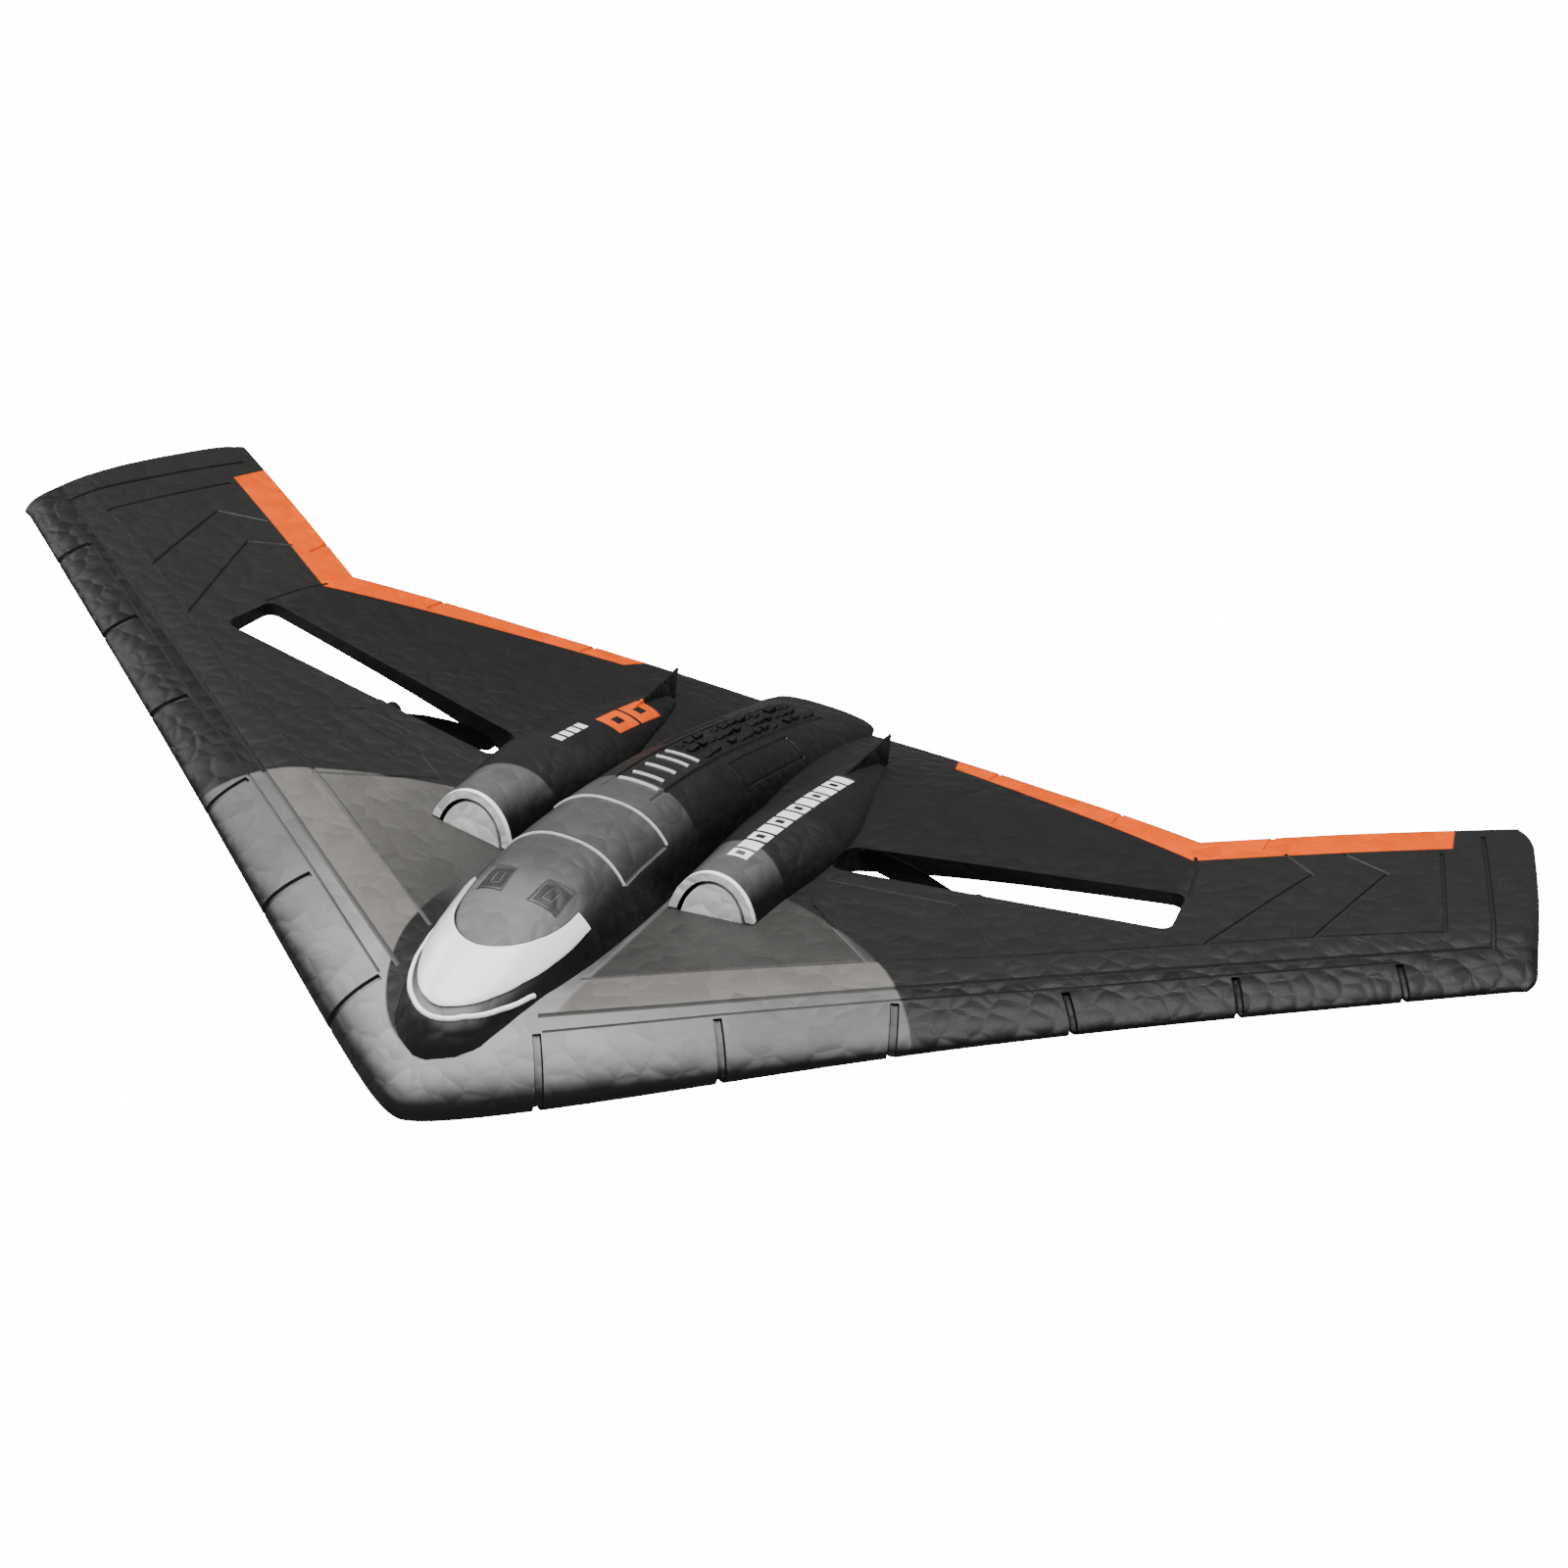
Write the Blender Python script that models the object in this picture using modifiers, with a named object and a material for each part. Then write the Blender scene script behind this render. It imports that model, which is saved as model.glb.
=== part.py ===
# A small radio-controlled flying wing: a moulded foam airframe with a propeller slot in each wing,
# two coreless motors, a belly pod with its electronics, and a battery under a sliding door.
# Metres, +Z up, nose towards -Y, origin under the middle of the aircraft at the pod's flat bottom.

import math

import bmesh
import bpy
from mathutils import Matrix, Vector

MM = 0.001
GAP = 0.3 * MM

# Planform. All places are from the middle of the aircraft's length, heights from the pod's bottom.
HALF_LENGTH = 94.5 * MM
NOSE_SETBACK = 2.0 * MM
PANEL_Z = 25.0 * MM
DIHEDRAL = 0.13
SWEEP = 0.708
NOSE_ROUND = 5.0 * MM
KINK_X = 101.7 * MM
KINK_Y = 48.0 * MM
TE_INNER_SLOPE = -0.477
TE_OUTER_SLOPE = 0.69

# Wing section.
EDGE_DEPTH = 18.6 * MM
EDGE_POWER = 1.6
TE_THICK = 2.6 * MM

# Spine over the wing's centre: station y, top above the wing plane, half width, all in mm.
SPINE = [
    (-87.5, -4.0, 2.0), (-85.5, 0.5, 6.0), (-82.0, 3.5, 9.5), (-76.0, 6.8, 12.0), (-70.0, 9.5, 13.8),
    (-62.0, 12.2, 15.2), (-52.0, 14.6, 16.4), (-42.0, 16.0, 17.0), (-30.0, 16.8, 17.3),
    (-12.0, 16.4, 17.3), (8.0, 14.6, 17.0), (28.0, 11.2, 16.6), (48.0, 6.8, 16.0),
    (68.0, 1.6, 15.4), (88.0, -4.4, 14.6), (94.0, -6.2, 13.0),
]

SPINE_FLOOR = -9.0
SPINE_POWER = 2.4
SPINE_ROOT = 0.42

# Engine humps beside the spine: station y, top above the wing plane, half width, distance out.
HUMP = [
    (-25.5, 12.8, 9.3, 26.8), (-14.0, 12.4, 10.0, 27.0), (-2.0, 11.6, 11.6, 27.6), (8.0, 10.6, 12.4, 27.8),
    (22.0, 8.8, 12.2, 27.6), (36.0, 6.6, 9.4, 27.0), (48.0, 4.4, 6.4, 26.2), (59.0, 2.0, 3.0, 25.6),
]

# Propeller slots and drive.
SLOT = [(38.6, 3.6), (107.6, 6.6), (106.4, 22.4), (38.6, 14.6)]
SLOT_ROUND = 2.5 * MM
HUB_X = 68.0 * MM
HUB_Z = 28.0 * MM
PROP_Y = 10.4 * MM
MOTOR_FRONT_Y = 2.6 * MM
MOTOR_LENGTH = 16.0 * MM
MOTOR_R = 3.0 * MM
SLEEVE_R = 4.1 * MM
SHAFT_R = 0.4 * MM
PARK_TILT = {"left": 8.0, "right": 2.0}

# Belly pod.
POD_HALF_X = 20.0 * MM
POD_FRONT_Y = -30.0 * MM
POD_REAR_Y = 38.0 * MM
POD_TOP_Z = 21.0 * MM
WALL = 1.4 * MM
LID_THICK = 1.4 * MM
DOOR_HALF_X = 12.6 * MM
DOOR_FRONT_Y = -12.0 * MM
DOOR_THICK = 1.3 * MM
TONGUE = 0.9 * MM

for old in list(bpy.data.objects):
    bpy.data.objects.remove(old, do_unlink=True)

parts = bpy.data.collections.new("rc_flying_wing")
guides = bpy.data.collections.new("cutters")
bpy.context.scene.collection.children.link(parts)
bpy.context.scene.collection.children.link(guides)


def finish_material(name, colour, roughness, metallic=0.0):
    mat = bpy.data.materials.new(name)
    mat.use_nodes = True
    shader = mat.node_tree.nodes["Principled BSDF"]
    shader.inputs["Base Color"].default_value = (*colour, 1.0)
    shader.inputs["Roughness"].default_value = roughness
    shader.inputs["Metallic"].default_value = metallic
    mat.diffuse_color = (*colour, 1.0)
    return mat


FOAM = finish_material("charcoal_foam", (0.05, 0.05, 0.048), 0.6)
WHITE_FILM = finish_material("white_film", (0.85, 0.85, 0.86), 0.25)
BLACK_ABS = finish_material("black_abs", (0.02, 0.02, 0.022), 0.4)
GREY_ABS = finish_material("grey_abs", (0.10, 0.10, 0.11), 0.45)
BLACK_NYLON = finish_material("black_nylon", (0.012, 0.012, 0.013), 0.3)
STEEL = finish_material("steel", (0.55, 0.55, 0.56), 0.3, 1.0)
MAGNET = finish_material("nickel_magnet", (0.42, 0.41, 0.38), 0.25, 1.0)
COPPER = finish_material("copper_winding", (0.75, 0.33, 0.16), 0.35, 1.0)
PCB = finish_material("green_board", (0.02, 0.14, 0.06), 0.4)
CHIP = finish_material("chip_resin", (0.015, 0.015, 0.016), 0.5)
CELL = finish_material("cell_wrap", (0.50, 0.52, 0.55), 0.3, 0.6)
WIRE = finish_material("wire_sleeve", (0.45, 0.02, 0.02), 0.45)
PLUG = finish_material("plug_nylon", (0.75, 0.74, 0.68), 0.4)
LED = finish_material("led_resin", (0.8, 0.9, 0.8), 0.1)


def place(obj, name, mat, collection=parts):
    obj.name = name
    obj.data.name = name
    obj.data.materials.clear()
    obj.data.materials.append(mat)
    for old in list(obj.users_collection):
        old.objects.unlink(obj)
    collection.objects.link(obj)
    return obj


def from_bmesh(bm, name, mat, collection=parts):
    bmesh.ops.recalc_face_normals(bm, faces=bm.faces)
    mesh = bpy.data.meshes.new(name)
    bm.to_mesh(mesh)
    bm.free()
    obj = bpy.data.objects.new(name, mesh)
    bpy.context.scene.collection.objects.link(obj)
    return place(obj, name, mat, collection)


def box(name, low, high, mat, bevel=0.0, collection=parts):
    bm = bmesh.new()
    bmesh.ops.create_cube(bm, size=1.0)
    size = [high[i] - low[i] for i in range(3)]
    bmesh.ops.scale(bm, vec=size, verts=bm.verts)
    obj = from_bmesh(bm, name, mat, collection)
    obj.location = [(low[i] + high[i]) / 2 for i in range(3)]
    if bevel:
        rounding = obj.modifiers.new("rounding", "BEVEL")
        rounding.width = bevel
        rounding.segments = 2
    return obj


def rod(name, start, end, radius, mat, sides=16, collection=parts):
    bm = bmesh.new()
    along = Vector(end) - Vector(start)
    bmesh.ops.create_cone(bm, cap_ends=True, segments=sides, radius1=radius, radius2=radius,
                          depth=along.length)
    obj = from_bmesh(bm, name, mat, collection)
    obj.location = (Vector(start) + Vector(end)) / 2
    obj.rotation_euler = along.to_track_quat("Z", "Y").to_euler()
    if collection is parts:
        obj.data.shade_smooth()
        obj.data.set_sharp_from_angle(angle=math.radians(35))
    return obj


def turned(name, profile, origin, mat, sides=24):
    """A closed profile of (radius, height) points turned about an axis that runs towards +Y."""
    mesh = bpy.data.meshes.new(name)
    count = len(profile)
    mesh.from_pydata([(r, 0.0, h) for r, h in profile], [(i, (i + 1) % count) for i in range(count)], [])
    obj = bpy.data.objects.new(name, mesh)
    bpy.context.scene.collection.objects.link(obj)
    place(obj, name, mat)
    screw = obj.modifiers.new("turn", "SCREW")
    screw.steps = sides
    screw.render_steps = sides
    screw.use_merge_vertices = True
    screw.merge_threshold = 0.00001
    obj.location = origin
    obj.rotation_euler = (-math.pi / 2, 0.0, 0.0)
    return obj


def cut(obj, cutter):
    cutter.hide_render = True
    cutter.display_type = "WIRE"
    boolean = obj.modifiers.new("cut", "BOOLEAN")
    boolean.operation = "DIFFERENCE"
    boolean.solver = "EXACT"
    boolean.object = cutter


def join(obj, other):
    other.hide_render = True
    other.display_type = "WIRE"
    boolean = obj.modifiers.new("join", "BOOLEAN")
    boolean.operation = "UNION"
    boolean.solver = "EXACT"
    boolean.object = other


def smooth_step(low, high, value):
    t = min(max((value - low) / (high - low), 0.0), 1.0)
    return t * t * (3.0 - 2.0 * t)


# ---------------------------------------------------------------- wing surface

def leading_edge(x):
    setback = NOSE_SETBACK * (1.0 - math.exp(-((x / (60.0 * MM)) ** 2)))
    return -HALF_LENGTH - setback + SWEEP * (math.hypot(x, NOSE_ROUND) - NOSE_ROUND)


def trailing_edge(x):
    if x <= KINK_X:
        return min(KINK_Y + TE_INNER_SLOPE * (x - KINK_X), HALF_LENGTH)
    return KINK_Y + TE_OUTER_SLOPE * (x - KINK_X)


def edge_bulge(x):
    """How much deeper the thick leading edge is towards the nose, from 0 at the tip to 1."""
    return math.exp(-((x / (64.5 * MM)) ** 2))


def wing_plane(x, y):
    """The upper panel: straight dihedral, drooping towards the trailing edge near the root."""
    back = max(0.0, y - 23.0 * MM)
    droop = 2.2 * back * back * (1.0 - 0.65 * smooth_step(60.0 * MM, 130.0 * MM, x))
    return PANEL_Z + DIHEDRAL * x - droop


def wing_section(x, y, upper):
    depth = max(0.0, (y - leading_edge(x)) * 0.816)
    bulge = edge_bulge(x)
    drop = (5.7 + 7.3 * bulge) * MM
    belly = (2.6 + 2.4 * bulge) * MM
    front = max(0.0, 1.0 - depth / EDGE_DEPTH)
    if upper:
        return wing_plane(x, y) - drop * (1.0 - (1.0 - front ** EDGE_POWER) ** (1.0 / EDGE_POWER))
    under = max(0.0, 1.0 - depth / (12.0 * MM))
    to_rear = max(0.0, trailing_edge(x) - y) * 0.9
    share = to_rear / (to_rear + depth + 1.0 * MM)
    thick = drop + belly * math.sqrt(1.0 - under * under)
    beside_slot = smooth_step(-6.0 * MM, 4.0 * MM, y) * smooth_step(22.0 * MM, 38.0 * MM, x)
    slot_thinning = 2.0 * (1.0 - bulge) * beside_slot
    thin = TE_THICK + (drop + belly - TE_THICK) * share ** (1.6 - 0.8 * bulge + slot_thinning)
    blend = smooth_step(6.0 * MM, 30.0 * MM, depth)
    return wing_plane(x, y) - (thick + (thin - thick) * blend)


def wing_half():
    """Closed loft of the left wing, open only at the middle plane, where Mirror joins it."""
    stations = [(x * MM, x * MM) for x in (0, 3.5, 8, 14, 22, 32, 44, 58, 73, 88, 101.7, 116, 131, 147)]
    stations += [(157.0 * MM, 152.5 * MM), (166.0 * MM, 156.5 * MM), (171.5 * MM, 159.0 * MM)]
    near = [0.0, 0.7, 2.2, 4.8, 9.0, 15.0, 22.8]
    shares = [0.3, 0.52, 0.76, 1.0]
    bm = bmesh.new()
    rings = []
    for x_front, x_rear in stations:
        front = Vector((x_front, leading_edge(x_front)))
        rear = Vector((x_rear, trailing_edge(x_rear)))
        chord = (rear - front).length
        first = near[-1] * MM / chord
        steps = [d * MM / chord for d in near] + [first + (1.0 - first) * s for s in shares]
        spots = [front.lerp(rear, s) for s in steps]
        ring = [bm.verts.new((p.x, p.y, wing_section(p.x, p.y, True))) for p in spots]
        ring += [bm.verts.new((p.x, p.y, wing_section(p.x, p.y, False))) for p in reversed(spots[1:])]
        rings.append(ring)
    tip = []
    middle = len(near) + len(shares)
    for index, vert in enumerate(rings[-1]):
        partner = rings[-1][-index % len(rings[-1])]
        centre = (vert.co.z + partner.co.z) / 2
        from_corner = min((vert.co - rings[-1][0].co).length, (vert.co - rings[-1][middle - 1].co).length)
        near_corner = max(0.0, 1.0 - from_corner / (7.0 * MM))
        out = 0.8 * MM + 2.9 * MM * math.sqrt(1.0 - near_corner * near_corner)
        height = centre + (vert.co.z - centre) * 0.55 + out * DIHEDRAL
        tip.append(bm.verts.new((vert.co.x + out, vert.co.y, height)))
    rings.append(tip)
    for a, b in zip(rings[:-1], rings[1:]):
        for i in range(len(a)):
            j = (i + 1) % len(a)
            bm.faces.new((a[i], a[j], b[j], b[i]))
    half = len(tip)
    for i in range(middle - 1):
        quad = [tip[i], tip[i + 1], tip[(half - i - 1) % half], tip[(half - i) % half]]
        unique = list(dict.fromkeys(quad))
        bm.faces.new(unique)
    return bm


def arch_loft(name, stations, side, floor, power, root):
    """A hump: arch sections of the given half widths and tops, closed below and at both ends."""
    bm = bmesh.new()
    rings = []
    steps = 12
    for y, top, half, out in stations:
        centre_x = side * out
        ring = []
        for i in range(steps + 1):
            t = -math.cos(math.pi * i / steps)
            rise = (1.0 - abs(t) ** power) ** root
            ring.append(bm.verts.new(((centre_x + t * half) * MM, y * MM,
                                      PANEL_Z + (floor + (top - floor) * rise) * MM)))
        for lean in (0.8, 0.0, -0.8):
            x = (centre_x + lean * half) * MM
            under = wing_section(abs(x), y * MM, False) + 0.9 * MM
            ring.append(bm.verts.new((x, y * MM, min(under, PANEL_Z + (floor - 0.3) * MM))))
        rings.append(ring)
    for a, b in zip(rings[:-1], rings[1:]):
        for i in range(len(a)):
            j = (i + 1) % len(a)
            bm.faces.new((a[i], a[j], b[j], b[i]))
    bm.faces.new(rings[0])
    bm.faces.new(rings[-1])
    return from_bmesh(bm, name, FOAM, guides)


def slot_cutter(side):
    bm = bmesh.new()
    corners = [bm.verts.new((side * x * MM, y * MM, 0.0)) for x, y in SLOT]
    floor = bm.faces.new(corners)
    lifted = bmesh.ops.extrude_face_region(bm, geom=[floor])
    upper = [v for v in lifted["geom"] if isinstance(v, bmesh.types.BMVert)]
    bmesh.ops.translate(bm, vec=(0, 0, 60.0 * MM), verts=upper)
    upright = [e for e in bm.edges if abs(e.verts[0].co.z - e.verts[1].co.z) > 0.01]
    bmesh.ops.bevel(bm, geom=upright, offset=SLOT_ROUND, segments=4, affect="EDGES", profile=0.5)
    return from_bmesh(bm, f"slot_cutter_{side}", FOAM, guides)


def ball(name, centre, radii):
    bm = bmesh.new()
    bmesh.ops.create_uvsphere(bm, u_segments=20, v_segments=12, radius=1.0)
    bmesh.ops.rotate(bm, verts=bm.verts, cent=(0, 0, 0), matrix=Matrix.Rotation(math.pi / 2, 3, "X"))
    bmesh.ops.scale(bm, vec=radii, verts=bm.verts)
    obj = from_bmesh(bm, name, FOAM, guides)
    obj.location = centre
    return obj


airframe = from_bmesh(wing_half(), "foam_airframe", FOAM)
mirror = airframe.modifiers.new("other_wing", "MIRROR")
mirror.use_clip = True
mirror.merge_threshold = 0.00001
join(airframe, arch_loft("spine", [(*row, 0.0) for row in SPINE], 0, SPINE_FLOOR, SPINE_POWER, SPINE_ROOT))
SIDES = {"left": 1, "right": -1}
for side_name, side in SIDES.items():
    join(airframe, arch_loft(f"hump_{side_name}", HUMP, side, 0.5, 2.1, 0.5))
    join(airframe, ball(f"motor_fairing_{side_name}", (side * HUB_X, -8.0 * MM, 24.6 * MM),
                        (8.6 * MM, 22.0 * MM, 8.4 * MM)))
for side_name, side in SIDES.items():
    cut(airframe, slot_cutter(side))
    cut(airframe, rod(f"motor_bore_{side_name}", (side * HUB_X, -20.5 * MM, HUB_Z),
                      (side * HUB_X, 8.0 * MM, HUB_Z), SLEEVE_R + GAP, FOAM, 24, guides))
cut(airframe, box("pod_pocket", (-POD_HALF_X - GAP, POD_FRONT_Y - GAP, -1.0 * MM),
                  (POD_HALF_X + GAP, POD_REAR_Y + GAP, POD_TOP_Z + LID_THICK + 2 * GAP), FOAM, 0.0, guides))

# ---------------------------------------------------------------- windshield

def spine_station(y):
    """Top and half width of the spine at y, both in mm, straight between its stations."""
    for (y0, top0, half0), (y1, top1, half1) in zip(SPINE[:-1], SPINE[1:]):
        if y0 <= y <= y1:
            share = (y - y0) / (y1 - y0)
            return top0 + (top1 - top0) * share, half0 + (half1 - half0) * share
    raise ValueError("no spine there")


def spine_height(x, y):
    top, half = spine_station(y)
    rise = max(0.0, 1.0 - (abs(x) / half) ** SPINE_POWER) ** SPINE_ROOT
    return SPINE_FLOOR + (top - SPINE_FLOOR) * rise


def windshield():
    """A thin moulded crescent that lies over the front of the spine, just clear of the foam."""
    across = 4
    around = 24
    bm = bmesh.new()
    layers = []
    for lift in (0.35, 0.95):
        rows = []
        for i in range(around + 1):
            turn = math.radians(-88.0 + 176.0 * i / around)
            row = []
            for j in range(across + 1):
                share = j / across
                x = (10.9 + 2.4 * share) * math.sin(turn)
                y = -50.5 + 1.5 * share - (19.8 + 13.9 * share) * math.cos(turn)
                row.append(bm.verts.new((x * MM, y * MM, PANEL_Z + (spine_height(x, y) + lift) * MM)))
            rows.append(row)
        layers.append(rows)
    for rows in layers:
        for a, b in zip(rows[:-1], rows[1:]):
            for j in range(across):
                bm.faces.new((a[j], a[j + 1], b[j + 1], b[j]))
    below, above = layers
    for j in (0, across):
        for i in range(around):
            bm.faces.new((below[i][j], below[i + 1][j], above[i + 1][j], above[i][j]))
    for i in (0, around):
        for j in range(across):
            bm.faces.new((below[i][j], below[i][j + 1], above[i][j + 1], above[i][j]))
    return from_bmesh(bm, "windshield_panel", WHITE_FILM)


windshield()

# ---------------------------------------------------------------- belly pod

shell = box("pod_shell", (-POD_HALF_X, POD_FRONT_Y, 0.0), (POD_HALF_X, POD_REAR_Y, POD_TOP_Z), BLACK_ABS)
cut(shell, box("pod_hollow", (-POD_HALF_X + WALL, POD_FRONT_Y + WALL, 1.6 * MM),
               (POD_HALF_X - WALL, POD_REAR_Y - WALL, POD_TOP_Z + 1.0 * MM), BLACK_ABS, 0.0, guides))
RAIL_Z = 12.4 * MM
for side_name, side in SIDES.items():
    inner, outer = side * 15.2 * MM, side * (POD_HALF_X - 0.5 * WALL)
    join(shell, box(f"board_rail_{side_name}", (min(inner, outer), -24.0 * MM, RAIL_Z - 1.4 * MM),
                    (max(inner, outer), 6.0 * MM, RAIL_Z), BLACK_ABS, 0.0, guides))
SCREWS = [(16.6, -27.0), (-16.6, -27.0), (16.6, 34.8), (-16.6, 34.8)]
for index, (sx, sy) in enumerate(SCREWS, 1):
    join(shell, rod(f"post_{index}", (sx * MM, sy * MM, 0.4 * MM), (sx * MM, sy * MM, POD_TOP_Z), 2.7 * MM,
                    BLACK_ABS, 16, guides))
for index, (sx, sy) in enumerate(SCREWS, 1):
    cut(shell, rod(f"screw_way_{index}", (sx * MM, sy * MM, -1.0 * MM),
                   (sx * MM, sy * MM, POD_TOP_Z + 1.0 * MM), 1.1 * MM, BLACK_ABS, 16, guides))
    cut(shell, rod(f"head_recess_{index}", (sx * MM, sy * MM, -1.0 * MM), (sx * MM, sy * MM, 2.2 * MM),
                   1.9 * MM, BLACK_ABS, 16, guides))
cut(shell, box("door_way", (-DOOR_HALF_X, DOOR_FRONT_Y - GAP, -1.0 * MM),
               (DOOR_HALF_X, POD_REAR_Y + 1.0 * MM, 2.2 * MM), BLACK_ABS, 0.0, guides))
cut(shell, box("door_grooves", (-DOOR_HALF_X - TONGUE - GAP, DOOR_FRONT_Y - GAP, 0.55 * MM),
               (DOOR_HALF_X + TONGUE + GAP, POD_REAR_Y + 1.0 * MM, 1.25 * MM), BLACK_ABS, 0.0, guides))
SWITCH_Y = -17.0 * MM
SWITCH_Z = 5.6 * MM
cut(shell, box("switch_window", (POD_HALF_X - 3.0 * MM, SWITCH_Y - 3.2 * MM, SWITCH_Z - 1.2 * MM),
               (POD_HALF_X + 1.0 * MM, SWITCH_Y + 3.2 * MM, SWITCH_Z + 1.2 * MM), BLACK_ABS, 0.0, guides))

lid = box("pod_lid", (-POD_HALF_X, POD_FRONT_Y, POD_TOP_Z + GAP),
          (POD_HALF_X, POD_REAR_Y, POD_TOP_Z + GAP + LID_THICK), BLACK_ABS)
for index, (sx, sy) in enumerate(SCREWS, 1):
    cut(lid, rod(f"lid_hole_{index}", (sx * MM, sy * MM, POD_TOP_Z), (sx * MM, sy * MM, POD_TOP_Z + 3.0 * MM),
                 0.95 * MM, BLACK_ABS, 12, guides))

door = box("battery_door", (-DOOR_HALF_X + GAP, DOOR_FRONT_Y, 0.2 * MM),
           (DOOR_HALF_X - GAP, POD_REAR_Y, 0.2 * MM + DOOR_THICK), BLACK_ABS)
join(door, box("door_tongues", (-DOOR_HALF_X - TONGUE + GAP, DOOR_FRONT_Y + 1.0 * MM, 0.85 * MM - 0.02 * MM),
               (DOOR_HALF_X + TONGUE - GAP, POD_REAR_Y - 1.0 * MM, 0.95 * MM), BLACK_ABS, 0.0, guides))
for index in range(5):
    ridge_y = 24.0 * MM + index * 2.2 * MM
    cut(door, box(f"grip_groove_{index}", (-7.0 * MM, ridge_y, -1.0 * MM),
                  (7.0 * MM, ridge_y + 1.0 * MM, 0.6 * MM), BLACK_ABS, 0.0, guides))


SCREW_PROFILE = [
    (0.0, 22.0 * MM), (0.65 * MM, 22.0 * MM), (0.65 * MM, 1.7 * MM),
    (1.5 * MM, 1.7 * MM), (1.5 * MM, 0.7 * MM), (0.6 * MM, 0.7 * MM), (0.6 * MM, 1.1 * MM), (0.0, 1.1 * MM),
]


def turned_open(name, profile, origin, mat, sides=12):
    """A profile whose two ends lie on the upright axis, from the top down its outer side."""
    mesh = bpy.data.meshes.new(name)
    mesh.from_pydata([(r, 0.0, h) for r, h in profile], [(i, i + 1) for i in range(len(profile) - 1)], [])
    obj = bpy.data.objects.new(name, mesh)
    bpy.context.scene.collection.objects.link(obj)
    place(obj, name, mat)
    screw = obj.modifiers.new("turn", "SCREW")
    screw.steps = sides
    screw.render_steps = sides
    screw.use_merge_vertices = True
    screw.merge_threshold = 0.00001
    obj.location = origin
    return obj


for index, (sx, sy) in enumerate(SCREWS, 1):
    turned_open(f"pod_screw_{index}", SCREW_PROFILE, (sx * MM, sy * MM, 0.2 * MM), STEEL)

# ---------------------------------------------------------------- electronics

CELL_LOW = (-10.5 * MM, -10.0 * MM, 2.6 * MM)
CELL_HIGH = (10.5 * MM, 28.0 * MM, 9.6 * MM)
box("battery_cell", CELL_LOW, CELL_HIGH, CELL, 1.2 * MM)
BOARD_Z = RAIL_Z + GAP
box("receiver_board", (-17.6 * MM, -23.0 * MM, BOARD_Z), (17.6 * MM, 5.0 * MM, BOARD_Z + 0.8 * MM), PCB)
CHIP_Z = BOARD_Z + 0.8 * MM + GAP
box("radio_chip", (-4.0 * MM, -14.0 * MM, CHIP_Z), (4.0 * MM, -6.0 * MM, CHIP_Z + 1.0 * MM), CHIP, 0.15 * MM)
box("gyro_chip", (7.0 * MM, -10.0 * MM, CHIP_Z), (10.0 * MM, -7.0 * MM, CHIP_Z + 0.9 * MM), CHIP, 0.1 * MM)
box("status_led", (-12.0 * MM, -20.0 * MM, CHIP_Z), (-10.4 * MM, -19.2 * MM, CHIP_Z + 0.6 * MM),
    LED, 0.1 * MM)
socket = box("battery_socket", (-3.6 * MM, -20.5 * MM, BOARD_Z - GAP - 4.4 * MM),
             (3.6 * MM, -14.5 * MM, BOARD_Z - GAP), PLUG)
cut(socket, box("socket_mouth", (-2.8 * MM, -19.0 * MM, BOARD_Z - GAP - 3.6 * MM),
                (2.8 * MM, -14.0 * MM, BOARD_Z - GAP - 0.8 * MM), PLUG, 0.0, guides))
box("battery_plug", (-2.4 * MM, -18.4 * MM, BOARD_Z - GAP - 3.2 * MM),
    (2.4 * MM, -13.4 * MM, BOARD_Z - GAP - 1.2 * MM), PLUG, 0.2 * MM)


def wire(name, points, radius, mat, resolution=2):
    curve = bpy.data.curves.new(name, "CURVE")
    curve.dimensions = "3D"
    curve.bevel_depth = radius
    curve.bevel_resolution = resolution
    curve.use_fill_caps = True
    spline = curve.splines.new("POLY")
    spline.points.add(len(points) - 1)
    for point, co in zip(spline.points, points):
        point.co = (*co, 1.0)
    obj = bpy.data.objects.new(name, curve)
    parts.objects.link(obj)
    curve.materials.append(mat)
    return obj


def eased(points, per_leg=6):
    """Points along a smooth curve through the route's own points."""
    ends = [points[0]] + list(points) + [points[-1]]
    smooth = []
    for i in range(1, len(ends) - 2):
        a, b, c, d = (Vector(ends[k]) for k in (i - 1, i, i + 1, i + 2))
        for step in range(per_leg):
            t = step / per_leg
            smooth.append(0.5 * (2 * b + (c - a) * t + (2 * a - 5 * b + 4 * c - d) * t ** 2
                                 + (3 * b - a - 3 * c + d) * t ** 3))
    smooth.append(Vector(ends[-2]))
    return smooth


PLUG_Z = BOARD_Z - GAP - 2.2 * MM
BATTERY_ROUTE = [
    (0.0, -13.4 * MM + GAP, PLUG_Z),
    (0.0, -12.2 * MM, PLUG_Z),
    (0.0, -11.3 * MM, PLUG_Z - 1.2 * MM),
    (0.0, -10.0 * MM - GAP - 0.5 * MM, 7.4 * MM),
]
wire("battery_lead", eased(BATTERY_ROUTE, 4), 0.45 * MM, WIRE)
ANTENNA_ROUTE = [
    (12.0 * MM, 5.0 * MM + GAP, BOARD_Z + 0.4 * MM),
    (12.0 * MM, 12.0 * MM, BOARD_Z + 0.4 * MM),
    (9.0 * MM, 22.0 * MM, BOARD_Z + 1.0 * MM),
    (3.0 * MM, 32.0 * MM, BOARD_Z + 1.0 * MM),
]
wire("antenna_wire", eased(ANTENNA_ROUTE, 5), 0.35 * MM, WIRE)
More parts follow.
